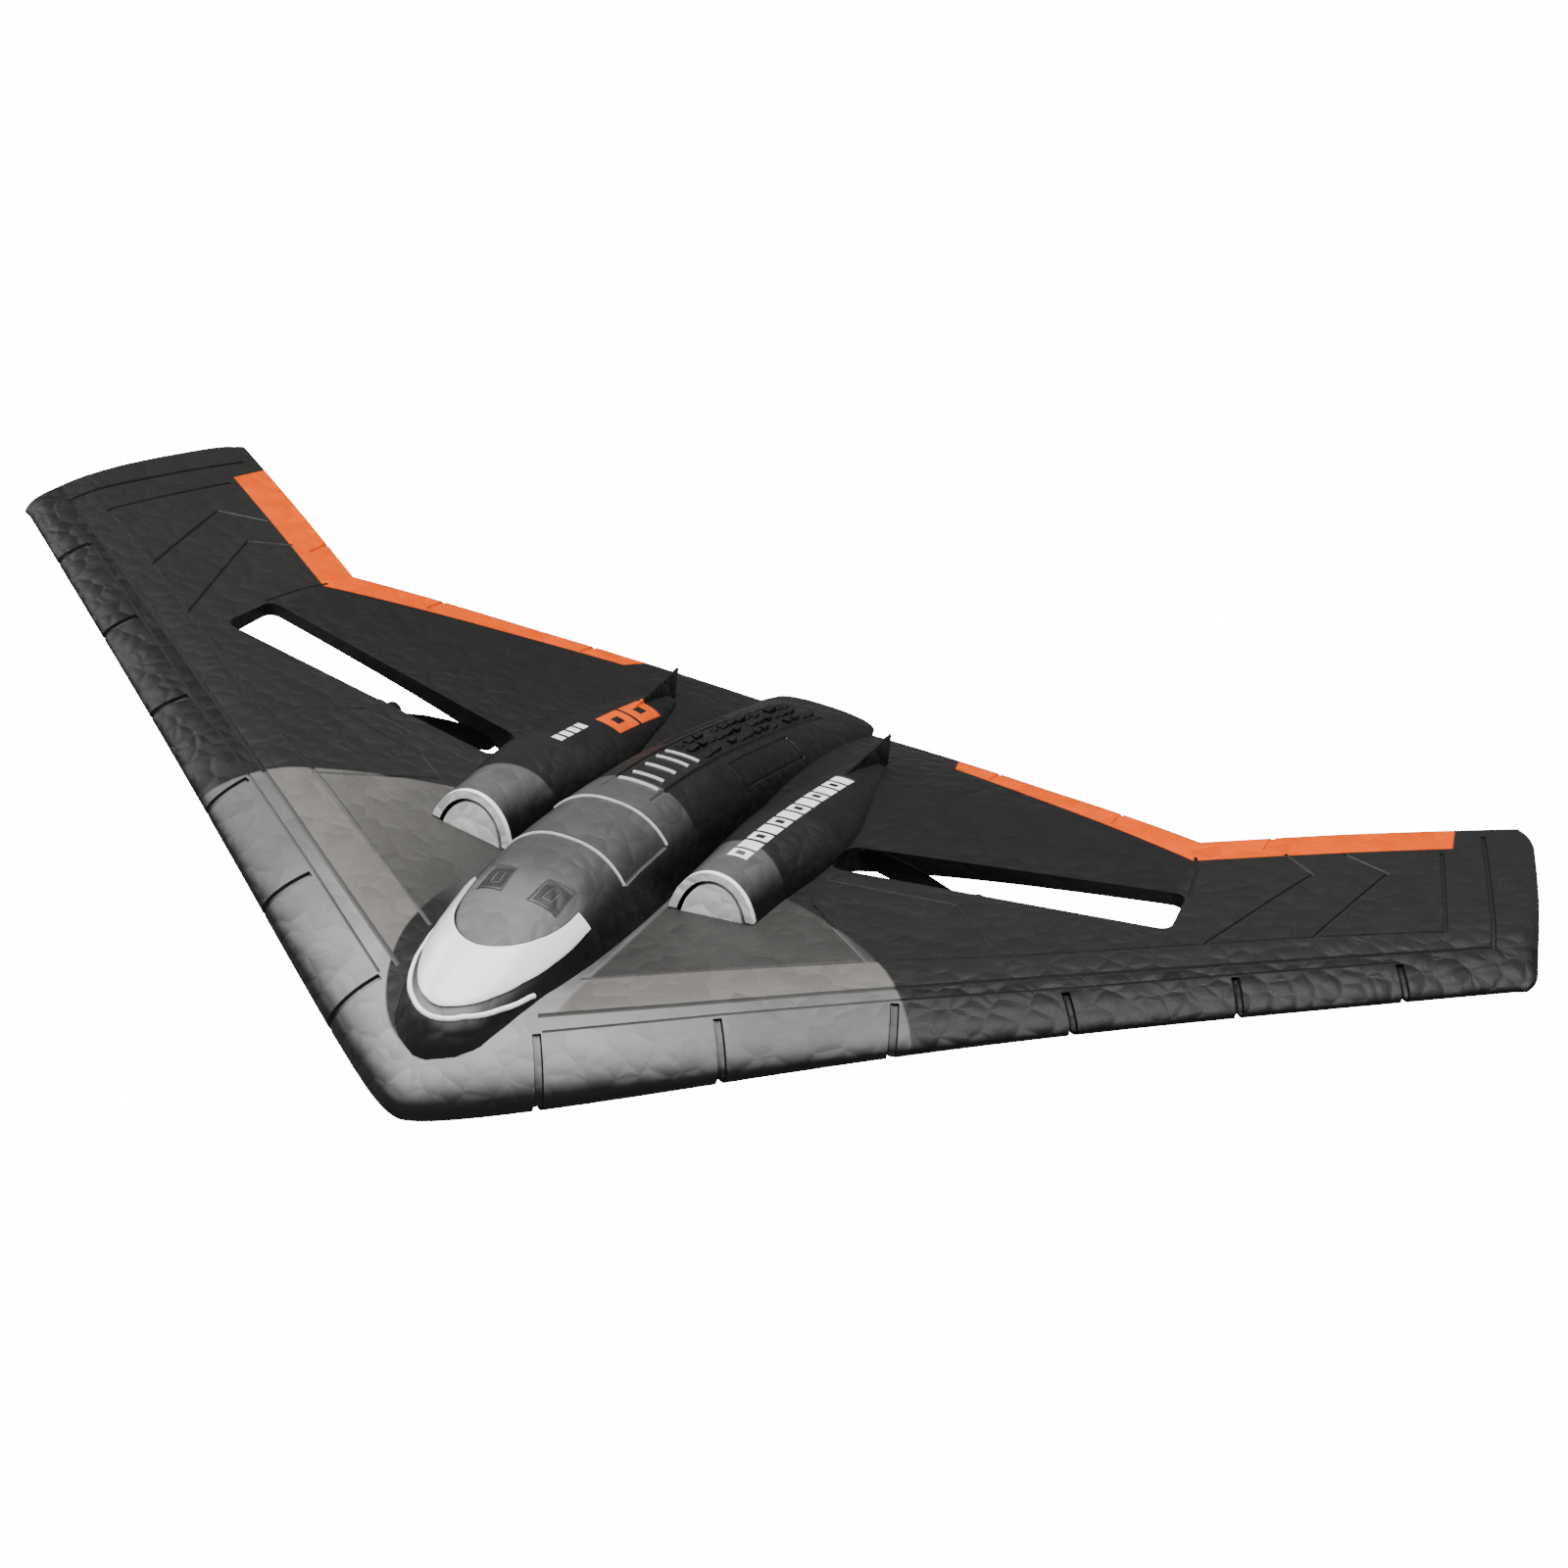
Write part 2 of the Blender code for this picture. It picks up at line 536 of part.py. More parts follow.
box("switch_body", (13.6 * MM, SWITCH_Y - 4.4 * MM, SWITCH_Z - 2.0 * MM),
    (17.2 * MM, SWITCH_Y + 4.4 * MM, SWITCH_Z + 2.0 * MM), STEEL, 0.2 * MM)
box("switch_knob", (17.2 * MM + GAP, SWITCH_Y - 2.6 * MM, SWITCH_Z - 0.8 * MM),
    (POD_HALF_X + 0.6 * MM, SWITCH_Y - 0.4 * MM, SWITCH_Z + 0.8 * MM), GREY_ABS, 0.15 * MM)

# ---------------------------------------------------------------- drive units


def propeller(name, side, tilt):
    """Two twisted blades and a hub, modelled about the shaft's axis and then parked at a tilt."""
    bm = bmesh.new()
    sections = [(1.2, 3.2, 38.0), (5.0, 4.8, 34.0), (10.0, 6.6, 27.0), (16.0, 7.2, 21.0), (21.0, 6.4, 17.0),
                (24.6, 4.4, 15.0), (25.9, 1.8, 14.0)]
    outline = [(-0.5, 0.0), (-0.25, 0.42), (0.1, 0.5), (0.5, 0.12), (0.5, -0.12), (0.1, -0.32), (-0.25, -0.3)]
    for turn in (0.0, math.pi):
        rings = []
        for radius, chord, pitch in sections:
            ring = []
            angle = math.radians(pitch) * side
            for along, across in outline:
                u = along * chord * MM
                v = across * 1.0 * MM
                y = u * math.sin(angle) + v * math.cos(angle)
                z = u * math.cos(angle) - v * math.sin(angle)
                ring.append(bm.verts.new((radius * MM * math.cos(turn), y, z * math.cos(turn))))
            rings.append(ring)
        for a, b in zip(rings[:-1], rings[1:]):
            for i in range(len(a)):
                j = (i + 1) % len(a)
                bm.faces.new((a[i], a[j], b[j], b[i]))
        bm.faces.new(rings[0])
        bm.faces.new(rings[-1])
    blades = from_bmesh(bm, f"{name}_blades", BLACK_NYLON, guides)
    hub_bm = bmesh.new()
    bmesh.ops.create_cone(hub_bm, cap_ends=True, segments=20, radius1=2.3 * MM, radius2=1.9 * MM,
                          depth=5.0 * MM, matrix=Matrix.Rotation(-math.pi / 2, 4, "X"))
    hub = from_bmesh(hub_bm, name, BLACK_NYLON)
    for obj in (blades, hub):
        obj.location = (side * HUB_X, PROP_Y, HUB_Z)
        obj.rotation_euler = (0.0, math.radians(tilt) * side, 0.0)
    join(hub, blades)
    cut(hub, rod(f"{name}_bore", (side * HUB_X, PROP_Y - 4.0 * MM, HUB_Z),
                 (side * HUB_X, PROP_Y + 1.6 * MM, HUB_Z), SHAFT_R + GAP, BLACK_NYLON, 12, guides))
    return hub


def ring_profile(inner, outer, low, high):
    return [(outer, high), (outer, low), (inner, low), (inner, high)]


CAN_BACK = -MOTOR_LENGTH
for side_name, side in SIDES.items():
    hub = (side * HUB_X, MOTOR_FRONT_Y, HUB_Z)
    bore = MOTOR_R + GAP
    turned(f"motor_sleeve_{side_name}", [
        (4.9 * MM, 4.0 * MM), (4.9 * MM, 3.3 * MM), (SLEEVE_R, 3.3 * MM), (SLEEVE_R, CAN_BACK + 2.5 * MM),
        (bore, CAN_BACK + 2.5 * MM), (bore, GAP), (2.2 * MM, GAP), (2.2 * MM, 4.0 * MM),
    ], hub, BLACK_NYLON, 28)
    turned(f"motor_can_{side_name}", [
        (MOTOR_R, 0.0), (MOTOR_R, CAN_BACK), (2.65 * MM, CAN_BACK), (2.65 * MM, -0.4 * MM),
        (0.72 * MM, -0.4 * MM), (0.72 * MM, 0.0),
    ], hub, STEEL, 24)
    turned(f"motor_magnet_{side_name}", ring_profile(0.72 * MM, 1.7 * MM, -12.0 * MM, -0.4 * MM - GAP),
           hub, MAGNET, 20)
    turned(f"motor_end_cap_{side_name}", [
        (2.35 * MM, CAN_BACK + 1.6 * MM), (2.35 * MM, CAN_BACK + 0.2 * MM),
        (0.72 * MM, CAN_BACK + 0.2 * MM), (0.72 * MM, CAN_BACK + 1.6 * MM),
    ], hub, BLACK_ABS, 20)
    rotor = turned_open(f"motor_rotor_{side_name}", [
        (0.0, PROP_Y - MOTOR_FRONT_Y + 1.2 * MM), (SHAFT_R, PROP_Y - MOTOR_FRONT_Y + 1.2 * MM),
        (SHAFT_R, -12.4 * MM), (2.0 * MM, -12.4 * MM), (2.0 * MM, -2.0 * MM), (2.32 * MM, -2.0 * MM),
        (2.32 * MM, -13.2 * MM), (SHAFT_R, -13.2 * MM),
        (SHAFT_R, CAN_BACK + 0.6 * MM), (0.0, CAN_BACK + 0.6 * MM),
    ], hub, COPPER, 20)
    rotor.rotation_euler = (-math.pi / 2, 0.0, 0.0)
    propeller(f"propeller_{side_name}", side, PARK_TILT[side_name])

    # Twin lead laid in a straight way through the foam, from the motor's back to the receiver board.
    lead_back = Vector((side * HUB_X, MOTOR_FRONT_Y + CAN_BACK - 0.4 * MM, HUB_Z))
    lead_turn = Vector((side * (HUB_X - 0.6 * MM), lead_back.y - 2.6 * MM, HUB_Z - 0.1 * MM))
    lead_end = Vector((side * 14.0 * MM, -12.0 * MM, BOARD_Z + 0.8 * MM + GAP + 0.6 * MM))
    way_start = Vector((side * (HUB_X + 1.0 * MM), -17.8 * MM, HUB_Z + 0.1 * MM))
    way_end = Vector((side * 16.0 * MM, -12.0 * MM, 18.8 * MM))
    way = rod(f"lead_way_{side_name}", way_start, way_end, 1.5 * MM, FOAM, 12, guides)
    cut(airframe, way)
    cut(shell, way)
    first = way_start.lerp(way_end, 0.10)
    last = way_start.lerp(way_end, 0.985)
    wire(f"motor_lead_{side_name}", eased([lead_back, lead_back.lerp(lead_turn, 0.6), first,
                                           way_start.lerp(way_end, 0.5), way_start.lerp(way_end, 0.88), last,
                                           lead_end], 4), 0.6 * MM, WIRE)
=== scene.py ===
import math

import bmesh
import bpy
import numpy as np
from mathutils import Matrix, Vector


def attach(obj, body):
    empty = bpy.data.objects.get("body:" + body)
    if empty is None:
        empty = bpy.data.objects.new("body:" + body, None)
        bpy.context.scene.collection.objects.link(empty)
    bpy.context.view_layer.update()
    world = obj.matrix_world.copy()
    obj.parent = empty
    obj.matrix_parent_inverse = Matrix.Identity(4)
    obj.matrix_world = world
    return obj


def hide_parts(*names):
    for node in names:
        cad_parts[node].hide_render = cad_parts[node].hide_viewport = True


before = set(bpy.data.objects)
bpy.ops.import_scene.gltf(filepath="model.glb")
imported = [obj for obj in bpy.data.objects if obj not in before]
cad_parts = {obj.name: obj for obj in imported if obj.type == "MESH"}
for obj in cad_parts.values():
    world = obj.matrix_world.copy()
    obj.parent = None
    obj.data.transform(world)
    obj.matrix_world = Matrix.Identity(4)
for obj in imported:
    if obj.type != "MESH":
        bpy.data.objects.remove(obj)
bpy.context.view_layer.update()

bpy.ops.object.select_all(action="DESELECT")

# ------------------------------------------------------------------------------------------------
# Camera, floor and lights. A pale seamless floor under soft studio panels, seen from ahead of the
# aircraft's left wing and above it.
# ------------------------------------------------------------------------------------------------

MM = 0.001
FLOOR_GLOW = 16.0
ROOM_GLOW = 0.12
TOP_POWER = 32.0
FRONT_POWER = 2.4
SIDE_POWER = 9.0


def aim(obj, place, back, roll=0.0):
    """Put an object at a place so that its +Z points along back, turned by roll about it."""
    back = Vector(back).normalized()
    level = Vector((0, 0, 1)).cross(back).normalized()
    upright = back.cross(level)
    side = level * math.cos(roll) + upright * math.sin(roll)
    up = upright * math.cos(roll) - level * math.sin(roll)
    turn = Matrix((side, up, back)).transposed()
    obj.matrix_world = Matrix.Translation(place) @ turn.to_4x4()


VIEW_AZIMUTH = math.radians(20.71)
VIEW_ELEVATION = math.radians(27.26)
VIEW_ROLL = math.radians(8.08)
view_back = (
    math.sin(VIEW_AZIMUTH) * math.cos(VIEW_ELEVATION),
    -math.cos(VIEW_AZIMUTH) * math.cos(VIEW_ELEVATION),
    math.sin(VIEW_ELEVATION),
)
camera_data = bpy.data.cameras.new("camera")
camera_data.lens = 60.64
camera = bpy.data.objects.new("camera", camera_data)
bpy.context.scene.collection.objects.link(camera)
aim(camera, (0.19127, -0.43167, 0.28480), view_back, VIEW_ROLL)
bpy.context.scene.camera = camera


def linear(hex_colour):
    """An sRGB hex colour as linear RGBA."""
    values = [int(hex_colour[i:i + 2], 16) / 255 for i in (1, 3, 5)]
    return [v / 12.92 if v <= 0.04045 else ((v + 0.055) / 1.055) ** 2.4 for v in values] + [1.0]


def add_node(mat, kind, settings=None, links=None):
    """Add a node, set its fields or its sockets by name or number, and link sockets into it."""
    node = mat.node_tree.nodes.new(kind)
    for key, value in (settings or {}).items():
        if isinstance(key, int) or key in node.inputs:
            node.inputs[key].default_value = value
        else:
            setattr(node, key, value)
    for key, source in (links or {}).items():
        mat.node_tree.links.new(source, node.inputs[key])
    return node


def new_material(name, hex_colour, roughness, metallic=0.0, ior=None):
    mat = bpy.data.materials.new(name)
    mat.use_nodes = True
    shader = mat.node_tree.nodes["Principled BSDF"]
    shader.inputs["Base Color"].default_value = linear(hex_colour)
    shader.inputs["Roughness"].default_value = roughness
    shader.inputs["Metallic"].default_value = metallic
    if ior:
        shader.inputs["IOR"].default_value = ior
    return mat, shader


def plain(mat, hex_colour):
    """A node socket that holds one colour."""
    node = add_node(mat, "ShaderNodeRGB")
    node.outputs[0].default_value = linear(hex_colour)
    return node.outputs[0]


def link(mat, source, target):
    mat.node_tree.links.new(source, target)


# A back-lit sweep: it looks white, but throws little light up under the wings.
floor_mat, floor_shader = new_material("back_lit_white_sweep", "#6A6A6A", 0.9)
floor_shader.inputs["Emission Color"].default_value = linear("#FFFFFF")
seen = add_node(floor_mat, "ShaderNodeLightPath").outputs["Is Camera Ray"]
glow = add_node(floor_mat, "ShaderNodeMath", {"operation": "MULTIPLY", 1: FLOOR_GLOW}, {0: seen})
link(floor_mat, glow.outputs[0], floor_shader.inputs["Emission Strength"])
bpy.ops.mesh.primitive_plane_add(size=60.0, location=(0, 0, 0))
floor = bpy.context.object
floor.name = "floor"
floor.data.materials.append(floor_mat)


def panel_light(name, place, target, size, power):
    data = bpy.data.lights.new(name, "AREA")
    data.shape = "RECTANGLE"
    data.size, data.size_y = size
    data.energy = power
    lamp = bpy.data.objects.new(name, data)
    bpy.context.scene.collection.objects.link(lamp)
    aim(lamp, place, Vector(place) - Vector(target))


panel_light("top_panel", (0.1, -0.1, 1.1), (0, 0, 0), (1.2, 1.0), TOP_POWER)
panel_light("front_panel", (0.1, -0.85, 0.8), (0, 0, 0.03), (1.0, 0.4), FRONT_POWER)
panel_light("side_panel", (-1.1, 0.0, 0.7), (0, 0, 0.03), (0.8, 0.6), SIDE_POWER)

world = bpy.data.worlds.new("studio")
world.use_nodes = True
world.node_tree.nodes["Background"].inputs["Color"].default_value = (1, 1, 1, 1)
world.node_tree.nodes["Background"].inputs["Strength"].default_value = ROOM_GLOW
bpy.context.scene.world = world

# ------------------------------------------------------------------------------------------------
# Foam airframe. One moulding of expanded polypropylene beads: a thick rounded leading edge, thin
# panels behind it, a spine and two engine humps, with panel lines pressed in by the mould. The
# beads show as a tight pattern of polygons about 4 mm across, and paint is sprayed over them.
# ------------------------------------------------------------------------------------------------

HALF_LENGTH = 94.5 * MM
NOSE_SETBACK = 2.0 * MM
PANEL_Z = 25.0 * MM
DIHEDRAL = 0.13
SWEEP = 0.708
NOSE_ROUND = 5.0 * MM
KINK_X = 101.7 * MM
KINK_Y = 48.0 * MM
TE_INNER_SLOPE = -0.477
TE_OUTER_SLOPE = 0.69
EDGE_DEPTH = 18.6 * MM
EDGE_POWER = 1.6
EDGE_DROP = 5.7 * MM
NOSE_DROP = 7.3 * MM
EDGE_BELLY = 2.6 * MM
NOSE_BELLY = 2.4 * MM
BELLY_DEPTH = 12.0 * MM
NOSE_WIDTH = 64.5 * MM
ACROSS_SWEEP = 0.816
TE_THICK = 2.6 * MM
TE_ROUND = 0.6 * MM


def smooth_step(low, high, value):
    t = np.clip((value - low) / (high - low), 0.0, 1.0)
    return t * t * (3.0 - 2.0 * t)


def leading_edge(x):
    setback = NOSE_SETBACK * (1.0 - np.exp(-((x / (60.0 * MM)) ** 2)))
    return -HALF_LENGTH - setback + SWEEP * (np.hypot(x, NOSE_ROUND) - NOSE_ROUND)


def trailing_edge(x):
    slope = np.where(x <= KINK_X, TE_INNER_SLOPE, TE_OUTER_SLOPE)
    return np.minimum(KINK_Y + slope * (x - KINK_X), HALF_LENGTH)


def wing_plane(x, y):
    back = np.maximum(0.0, y - 23.0 * MM)
    droop = 2.2 * back * back * (1.0 - 0.65 * smooth_step(60.0 * MM, 130.0 * MM, x))
    return PANEL_Z + DIHEDRAL * x - droop


def edge_shape(x, y):
    """Depth behind the leading edge, nearness to the nose from 0 to 1, and how far the edge hangs."""
    depth = np.maximum(0.0, (y - leading_edge(x)) * ACROSS_SWEEP)
    bulge = np.exp(-((x / NOSE_WIDTH) ** 2))
    return depth, bulge, EDGE_DROP + NOSE_DROP * bulge


def wing_top(x, y):
    """Height of the wing's upper skin, x from 0 outwards, y back from the nose."""
    depth, _, drop = edge_shape(x, y)
    front = np.maximum(0.0, 1.0 - depth / EDGE_DEPTH)
    return wing_plane(x, y) - drop * (1.0 - (1.0 - front ** EDGE_POWER) ** (1.0 / EDGE_POWER))


def wing_under(x, y):
    """Height of the wing's lower skin: a full belly in front, thinning to the trailing edge."""
    depth, bulge, drop = edge_shape(x, y)
    belly = EDGE_BELLY + NOSE_BELLY * bulge
    under = np.maximum(0.0, 1.0 - depth / BELLY_DEPTH)
    to_rear = np.maximum(0.0, trailing_edge(x) - y) * 0.9
    share = to_rear / (to_rear + depth + 1.0 * MM)
    thick = drop + belly * np.sqrt(1.0 - under * under)
    beside_slot = smooth_step(-6.0 * MM, 4.0 * MM, y) * smooth_step(22.0 * MM, 38.0 * MM, x)
    slot_thinning = 2.0 * (1.0 - bulge) * beside_slot
    thin = TE_THICK + (drop + belly - TE_THICK) * share ** (1.6 - 0.8 * bulge + slot_thinning)
    blend = smooth_step(6.0 * MM, 30.0 * MM, depth)
    return wing_plane(x, y) - (thick + (thin - thick) * blend)


def activate(obj):
    bpy.ops.object.select_all(action="DESELECT")
    obj.select_set(True)
    bpy.context.view_layer.objects.active = obj
    return obj


def apply_modifier(obj, kind, **settings):
    activate(obj)
    modifier = obj.modifiers.new("step", kind)
    for key, value in settings.items():
        setattr(modifier, key, value)
    bpy.ops.object.modifier_apply(modifier=modifier.name)


def clean(obj, distance=0.00001):
    """Merge doubles and point the faces outwards."""
    activate(obj)
    bpy.ops.object.mode_set(mode="EDIT")
    bpy.ops.mesh.select_all(action="SELECT")
    bpy.ops.mesh.remove_doubles(threshold=distance)
    bpy.ops.mesh.normals_make_consistent(inside=False)
    bpy.ops.object.mode_set(mode="OBJECT")


def grid_by_rule(name, across, along, rule):
    """A flat grid whose points are carried by a rule from (u, v) in -1..1 to their places."""
    bpy.ops.mesh.primitive_grid_add(x_subdivisions=across, y_subdivisions=along, size=2.0, location=(0, 0, 0))
    obj = bpy.context.object
    obj.name = name
    flat = np.empty(len(obj.data.vertices) * 3, dtype=np.float32)
    obj.data.vertices.foreach_get("co", flat)
    flat = flat.reshape(-1, 3).astype(float)
    places = rule(flat[:, 0], flat[:, 1])
    obj.data.vertices.foreach_set("co", places.astype(np.float32).ravel())
    obj.data.update()
    return obj


TIP_ROUND = 2.9 * MM
TIP_START = 0.985
REAR_START = 0.97
CORNER_REACH = 7.0 * MM


def wing_rule(u, v):
    """u runs over the span from tip to tip, v round the section from the trailing edge's middle."""
    span = np.abs(u)
    station = np.interp(span, [0.0, 0.84, TIP_START, 1.0], [0.0, 147.0, 171.5, 171.5]) * MM
    rear_x = np.interp(span, [0.0, 0.84, 0.93, TIP_START, 1.0], [0.0, 147.0, 155.8, 159.0, 159.0]) * MM
    round_off = np.clip((span - TIP_START) / (1.0 - TIP_START), 0.0, 1.0) * math.pi / 2
    front = np.stack([station, leading_edge(station)], -1)
    rear = np.stack([rear_x, trailing_edge(rear_x)], -1)
    upper = v < 0
    w = np.abs(v)
    # w: 1 at the trailing edge's middle, 0 at the leading edge, closely spaced near both.
    share = np.interp(w, [0.0, 0.05, 0.10, 0.16, 0.24, REAR_START, 1.0],
                      [0.0, 0.004, 0.018, 0.05, 0.11, 1.0, 1.0])
    spot = front + (rear - front) * share[:, None]
    x, y = spot[:, 0], spot[:, 1]
    top = wing_top(x, y)
    under = wing_under(x, y)
    middle = (top + under) / 2
    edge_close = np.clip((w - REAR_START) / (1.0 - REAR_START), 0.0, 1.0)
    half = (top - under) / 2 * np.sqrt(np.maximum(0.0, 1.0 - edge_close ** 2))
    chord = np.linalg.norm(rear - front, axis=1)
    from_corner = np.minimum(share, 1.0 - share) * chord
    near_corner = np.clip(1.0 - from_corner / CORNER_REACH, 0.0, 1.0)
    reach = 0.5 * MM + TIP_ROUND * np.sqrt(1.0 - near_corner ** 2)
    out = reach * np.sin(round_off)
    half = half * np.cos(round_off)
    z = middle + np.where(upper, half, -half) + out * DIHEDRAL
    y = y + np.sin(math.pi * edge_close / 2) * TE_ROUND * (1.0 - np.sin(round_off))
    return np.stack([np.sign(u) * (x + out), y, z], -1)


foam = grid_by_rule("foam_skin", 330, 150, wing_rule)
clean(foam, 0.000004)

# The spine over the middle: station y, top above the wing plane and half width, in mm.
SPINE = np.array([
    (-87.5, -4.0, 2.0), (-85.5, 0.5, 6.0), (-82.0, 3.5, 9.5), (-76.0, 6.8, 12.0), (-70.0, 9.5, 13.8),
    (-62.0, 12.2, 15.2), (-52.0, 14.6, 16.4), (-42.0, 16.0, 17.0), (-30.0, 16.8, 17.3),
    (-12.0, 16.4, 17.3), (8.0, 14.6, 17.0), (28.0, 11.2, 16.6), (48.0, 6.8, 16.0),
    (68.0, 1.6, 15.4), (88.0, -4.4, 14.6), (94.0, -6.2, 13.0),
]) * MM
# Each arch: its floor above the wing plane, and the power and root that square its section.
SPINE_ARCH = (-9.0 * MM, 2.4, 0.42)
HUMP_ARCH = (0.5 * MM, 2.1, 0.5)


def arch_top(stations, centre, floor, power, root, x, y):
    """Height of an arch body's top, or below the ground where the body isn't."""
    top = np.interp(y, stations[:, 0], stations[:, 1])
    half = np.interp(y, stations[:, 0], stations[:, 2])
    lean = np.abs(x - centre) / half
    rise = np.maximum(0.0, 1.0 - lean ** power) ** root
    missing = (lean >= 1.0) | (y < stations[0, 0]) | (y > stations[-1, 0])
    return np.where(missing, -1.0, PANEL_Z + floor + (top - floor) * rise)


def spine_top(x, y):
    return arch_top(SPINE, 0.0, *SPINE_ARCH, x, y)


ARCH_SHARE = 0.8


def arch_rule(stations, side, floor, power, root):
    """Arch sections along y, closed below by points that stay inside the wing."""
    def rule(u, v):
        y = stations[0, 0] + (stations[-1, 0] - stations[0, 0]) * (u + 1) / 2
        top = np.interp(y, stations[:, 0], stations[:, 1])
        half = np.interp(y, stations[:, 0], stations[:, 2])
        centre = side * np.interp(y, stations[:, 0], stations[:, 3]) if side else 0.0
        lean = -np.cos(math.pi * (np.clip(v, -ARCH_SHARE, ARCH_SHARE) / ARCH_SHARE + 1) / 2)
        rise = np.maximum(0.0, 1.0 - np.abs(lean) ** power) ** root
        x = centre + lean * half
        z = PANEL_Z + floor + (top - floor) * rise
        below = np.abs(v) > ARCH_SHARE
        x_low = centre + np.sign(v) * half * 0.8 * (1.0 - np.abs(v)) / (1.0 - ARCH_SHARE)
        z_low = np.minimum(wing_under(np.abs(x_low), y) + 0.9 * MM, PANEL_Z + floor - 0.3 * MM)
        return np.stack([np.where(below, x_low, x), y, np.where(below, z_low, z)], -1)
    return rule


def close_ends(obj):
    """Fill the two open ends of a tube-like grid."""
    clean(obj)
    bpy.ops.object.mode_set(mode="EDIT")
    bpy.ops.mesh.select_mode(type="EDGE")
    bpy.ops.mesh.select_all(action="DESELECT")
    bpy.ops.mesh.select_non_manifold()
    bpy.ops.mesh.fill_holes(sides=0)
    bpy.ops.mesh.select_all(action="SELECT")
    bpy.ops.mesh.normals_make_consistent(inside=False)
    bpy.ops.object.mode_set(mode="OBJECT")


def boolean(obj, other, operation, self_overlap=False):
    apply_modifier(obj, "BOOLEAN", operation=operation, solver="EXACT", object=other,
                   use_self=self_overlap, material_mode="TRANSFER")
    bpy.data.objects.remove(other, do_unlink=True)


spine = grid_by_rule("spine", 150, 60, arch_rule(SPINE, 0, *SPINE_ARCH))
close_ends(spine)
boolean(foam, spine, "UNION")

# The engine humps: station y, top above the wing plane, half width and distance out, in mm.
HUMP = np.array([
    (-25.5, 12.8, 9.3, 26.8), (-14.0, 12.4, 10.0, 27.0), (-2.0, 11.6, 11.6, 27.6), (8.0, 10.6, 12.4, 27.8),
    (22.0, 8.8, 12.2, 27.6), (36.0, 6.6, 9.4, 27.0), (48.0, 4.4, 6.4, 26.2), (59.0, 2.0, 3.0, 25.6),
]) * MM
for side in (1, -1):
    hump = grid_by_rule("hump", 70, 40, arch_rule(HUMP, side, *HUMP_ARCH))
    close_ends(hump)
    boolean(foam, hump, "UNION")

for side in (1, -1):
    # The motor lies in a bulge under the wing.
    bpy.ops.mesh.primitive_uv_sphere_add(segments=48, ring_count=24, radius=1.0, location=(0, 0, 0))
    bulge = bpy.context.object
    for vert in bulge.data.vertices:
        x, y, z = vert.co
        vert.co = (side * 68.0 * MM + x * 8.6 * MM, -8.0 * MM + z * 22.0 * MM, 24.6 * MM - y * 8.4 * MM)
    clean(bulge)
    boolean(foam, bulge, "UNION")


def hump_top(x, y):
    centre = np.interp(y, HUMP[:, 0], HUMP[:, 3])
    return arch_top(HUMP, centre, *HUMP_ARCH, x, y)


def skin_top(x, y):
    """Height of the finished upper skin: whichever of wing, spine and hump is highest."""
    x = np.abs(x)
    return np.maximum(np.maximum(wing_top(x, y), hump_top(x, y)), spine_top(x, y))


# Sprayed foam: soft half-gloss creases round charcoal beads.
foam_mat, foam_shader = new_material("sprayed_charcoal_epp_foam", "#2B2B2A", 0.5)
# Unpainted foam: dull black walls where the moulding is cut through, made darker than the foam as painted shade
# inside the slots and intake gaps.
shaded_wall_mat, shaded_wall_shader = new_material("bare_epp_wall_painted_shade", "#0B0B0B", 0.75)
# Raised mould line: painted highlight, a thin pale stroke standing for the light its crest catches.
highlight_line_mat, highlight_line_shader = new_material("mould_line_painted_highlight", "#B9B9B7", 0.35)
# White sprayed foam: bright intake faces with the beads just showing.
white_mat, white_shader = new_material("white_sprayed_epp_foam", "#FAFAF8", 0.45)
# Pressed mould line: painted shade, a thin dark stroke standing for the shade down in the groove.
shaded_groove_mat, shaded_groove_shader = new_material("mould_line_painted_shade", "#121212", 0.5)
foam.data.materials.clear()
foam.data.materials.append(foam_mat)


def cut_prism(name, corners, low, high, mat, rounding=0.0, segments=6):
    """An upright prism over the given corners, its upright edges rounded."""
    bpy.ops.mesh.primitive_circle_add(vertices=len(corners), radius=1.0, fill_type="NGON", location=(0, 0, 0))
    obj = bpy.context.object
    obj.name = name
    for vert, (x, y) in zip(obj.data.vertices, corners):
        vert.co = (x * MM, y * MM, low * MM)
    bpy.ops.object.mode_set(mode="EDIT")
    bpy.ops.mesh.select_all(action="SELECT")
    bpy.ops.mesh.extrude_region_move(TRANSFORM_OT_translate={"value": (0, 0, (high - low) * MM)})
    bpy.ops.object.mode_set(mode="OBJECT")
    if rounding:
        mesh = bmesh.new()
        mesh.from_mesh(obj.data)
        upright = [e for e in mesh.edges if abs(e.verts[0].co.z - e.verts[1].co.z) > 0.5 * (high - low) * MM]
        bmesh.ops.bevel(mesh, geom=upright, offset=rounding * MM, segments=segments, affect="EDGES", profile=0.5)
        mesh.to_mesh(obj.data)
        mesh.free()
    clean(obj)
    obj.data.materials.append(mat)
    return obj


def rod_between(name, start, end, radius, mat, sides=32):
    along = Vector(end) - Vector(start)
    bpy.ops.mesh.primitive_cylinder_add(vertices=sides, radius=radius, depth=along.length, location=(0, 0, 0))
    obj = bpy.context.object
    obj.name = name
    turn = along.to_track_quat("Z", "Y").to_matrix().to_4x4()
    obj.data.transform(Matrix.Translation((Vector(start) + Vector(end)) / 2) @ turn)
    obj.data.materials.append(mat)
    return obj


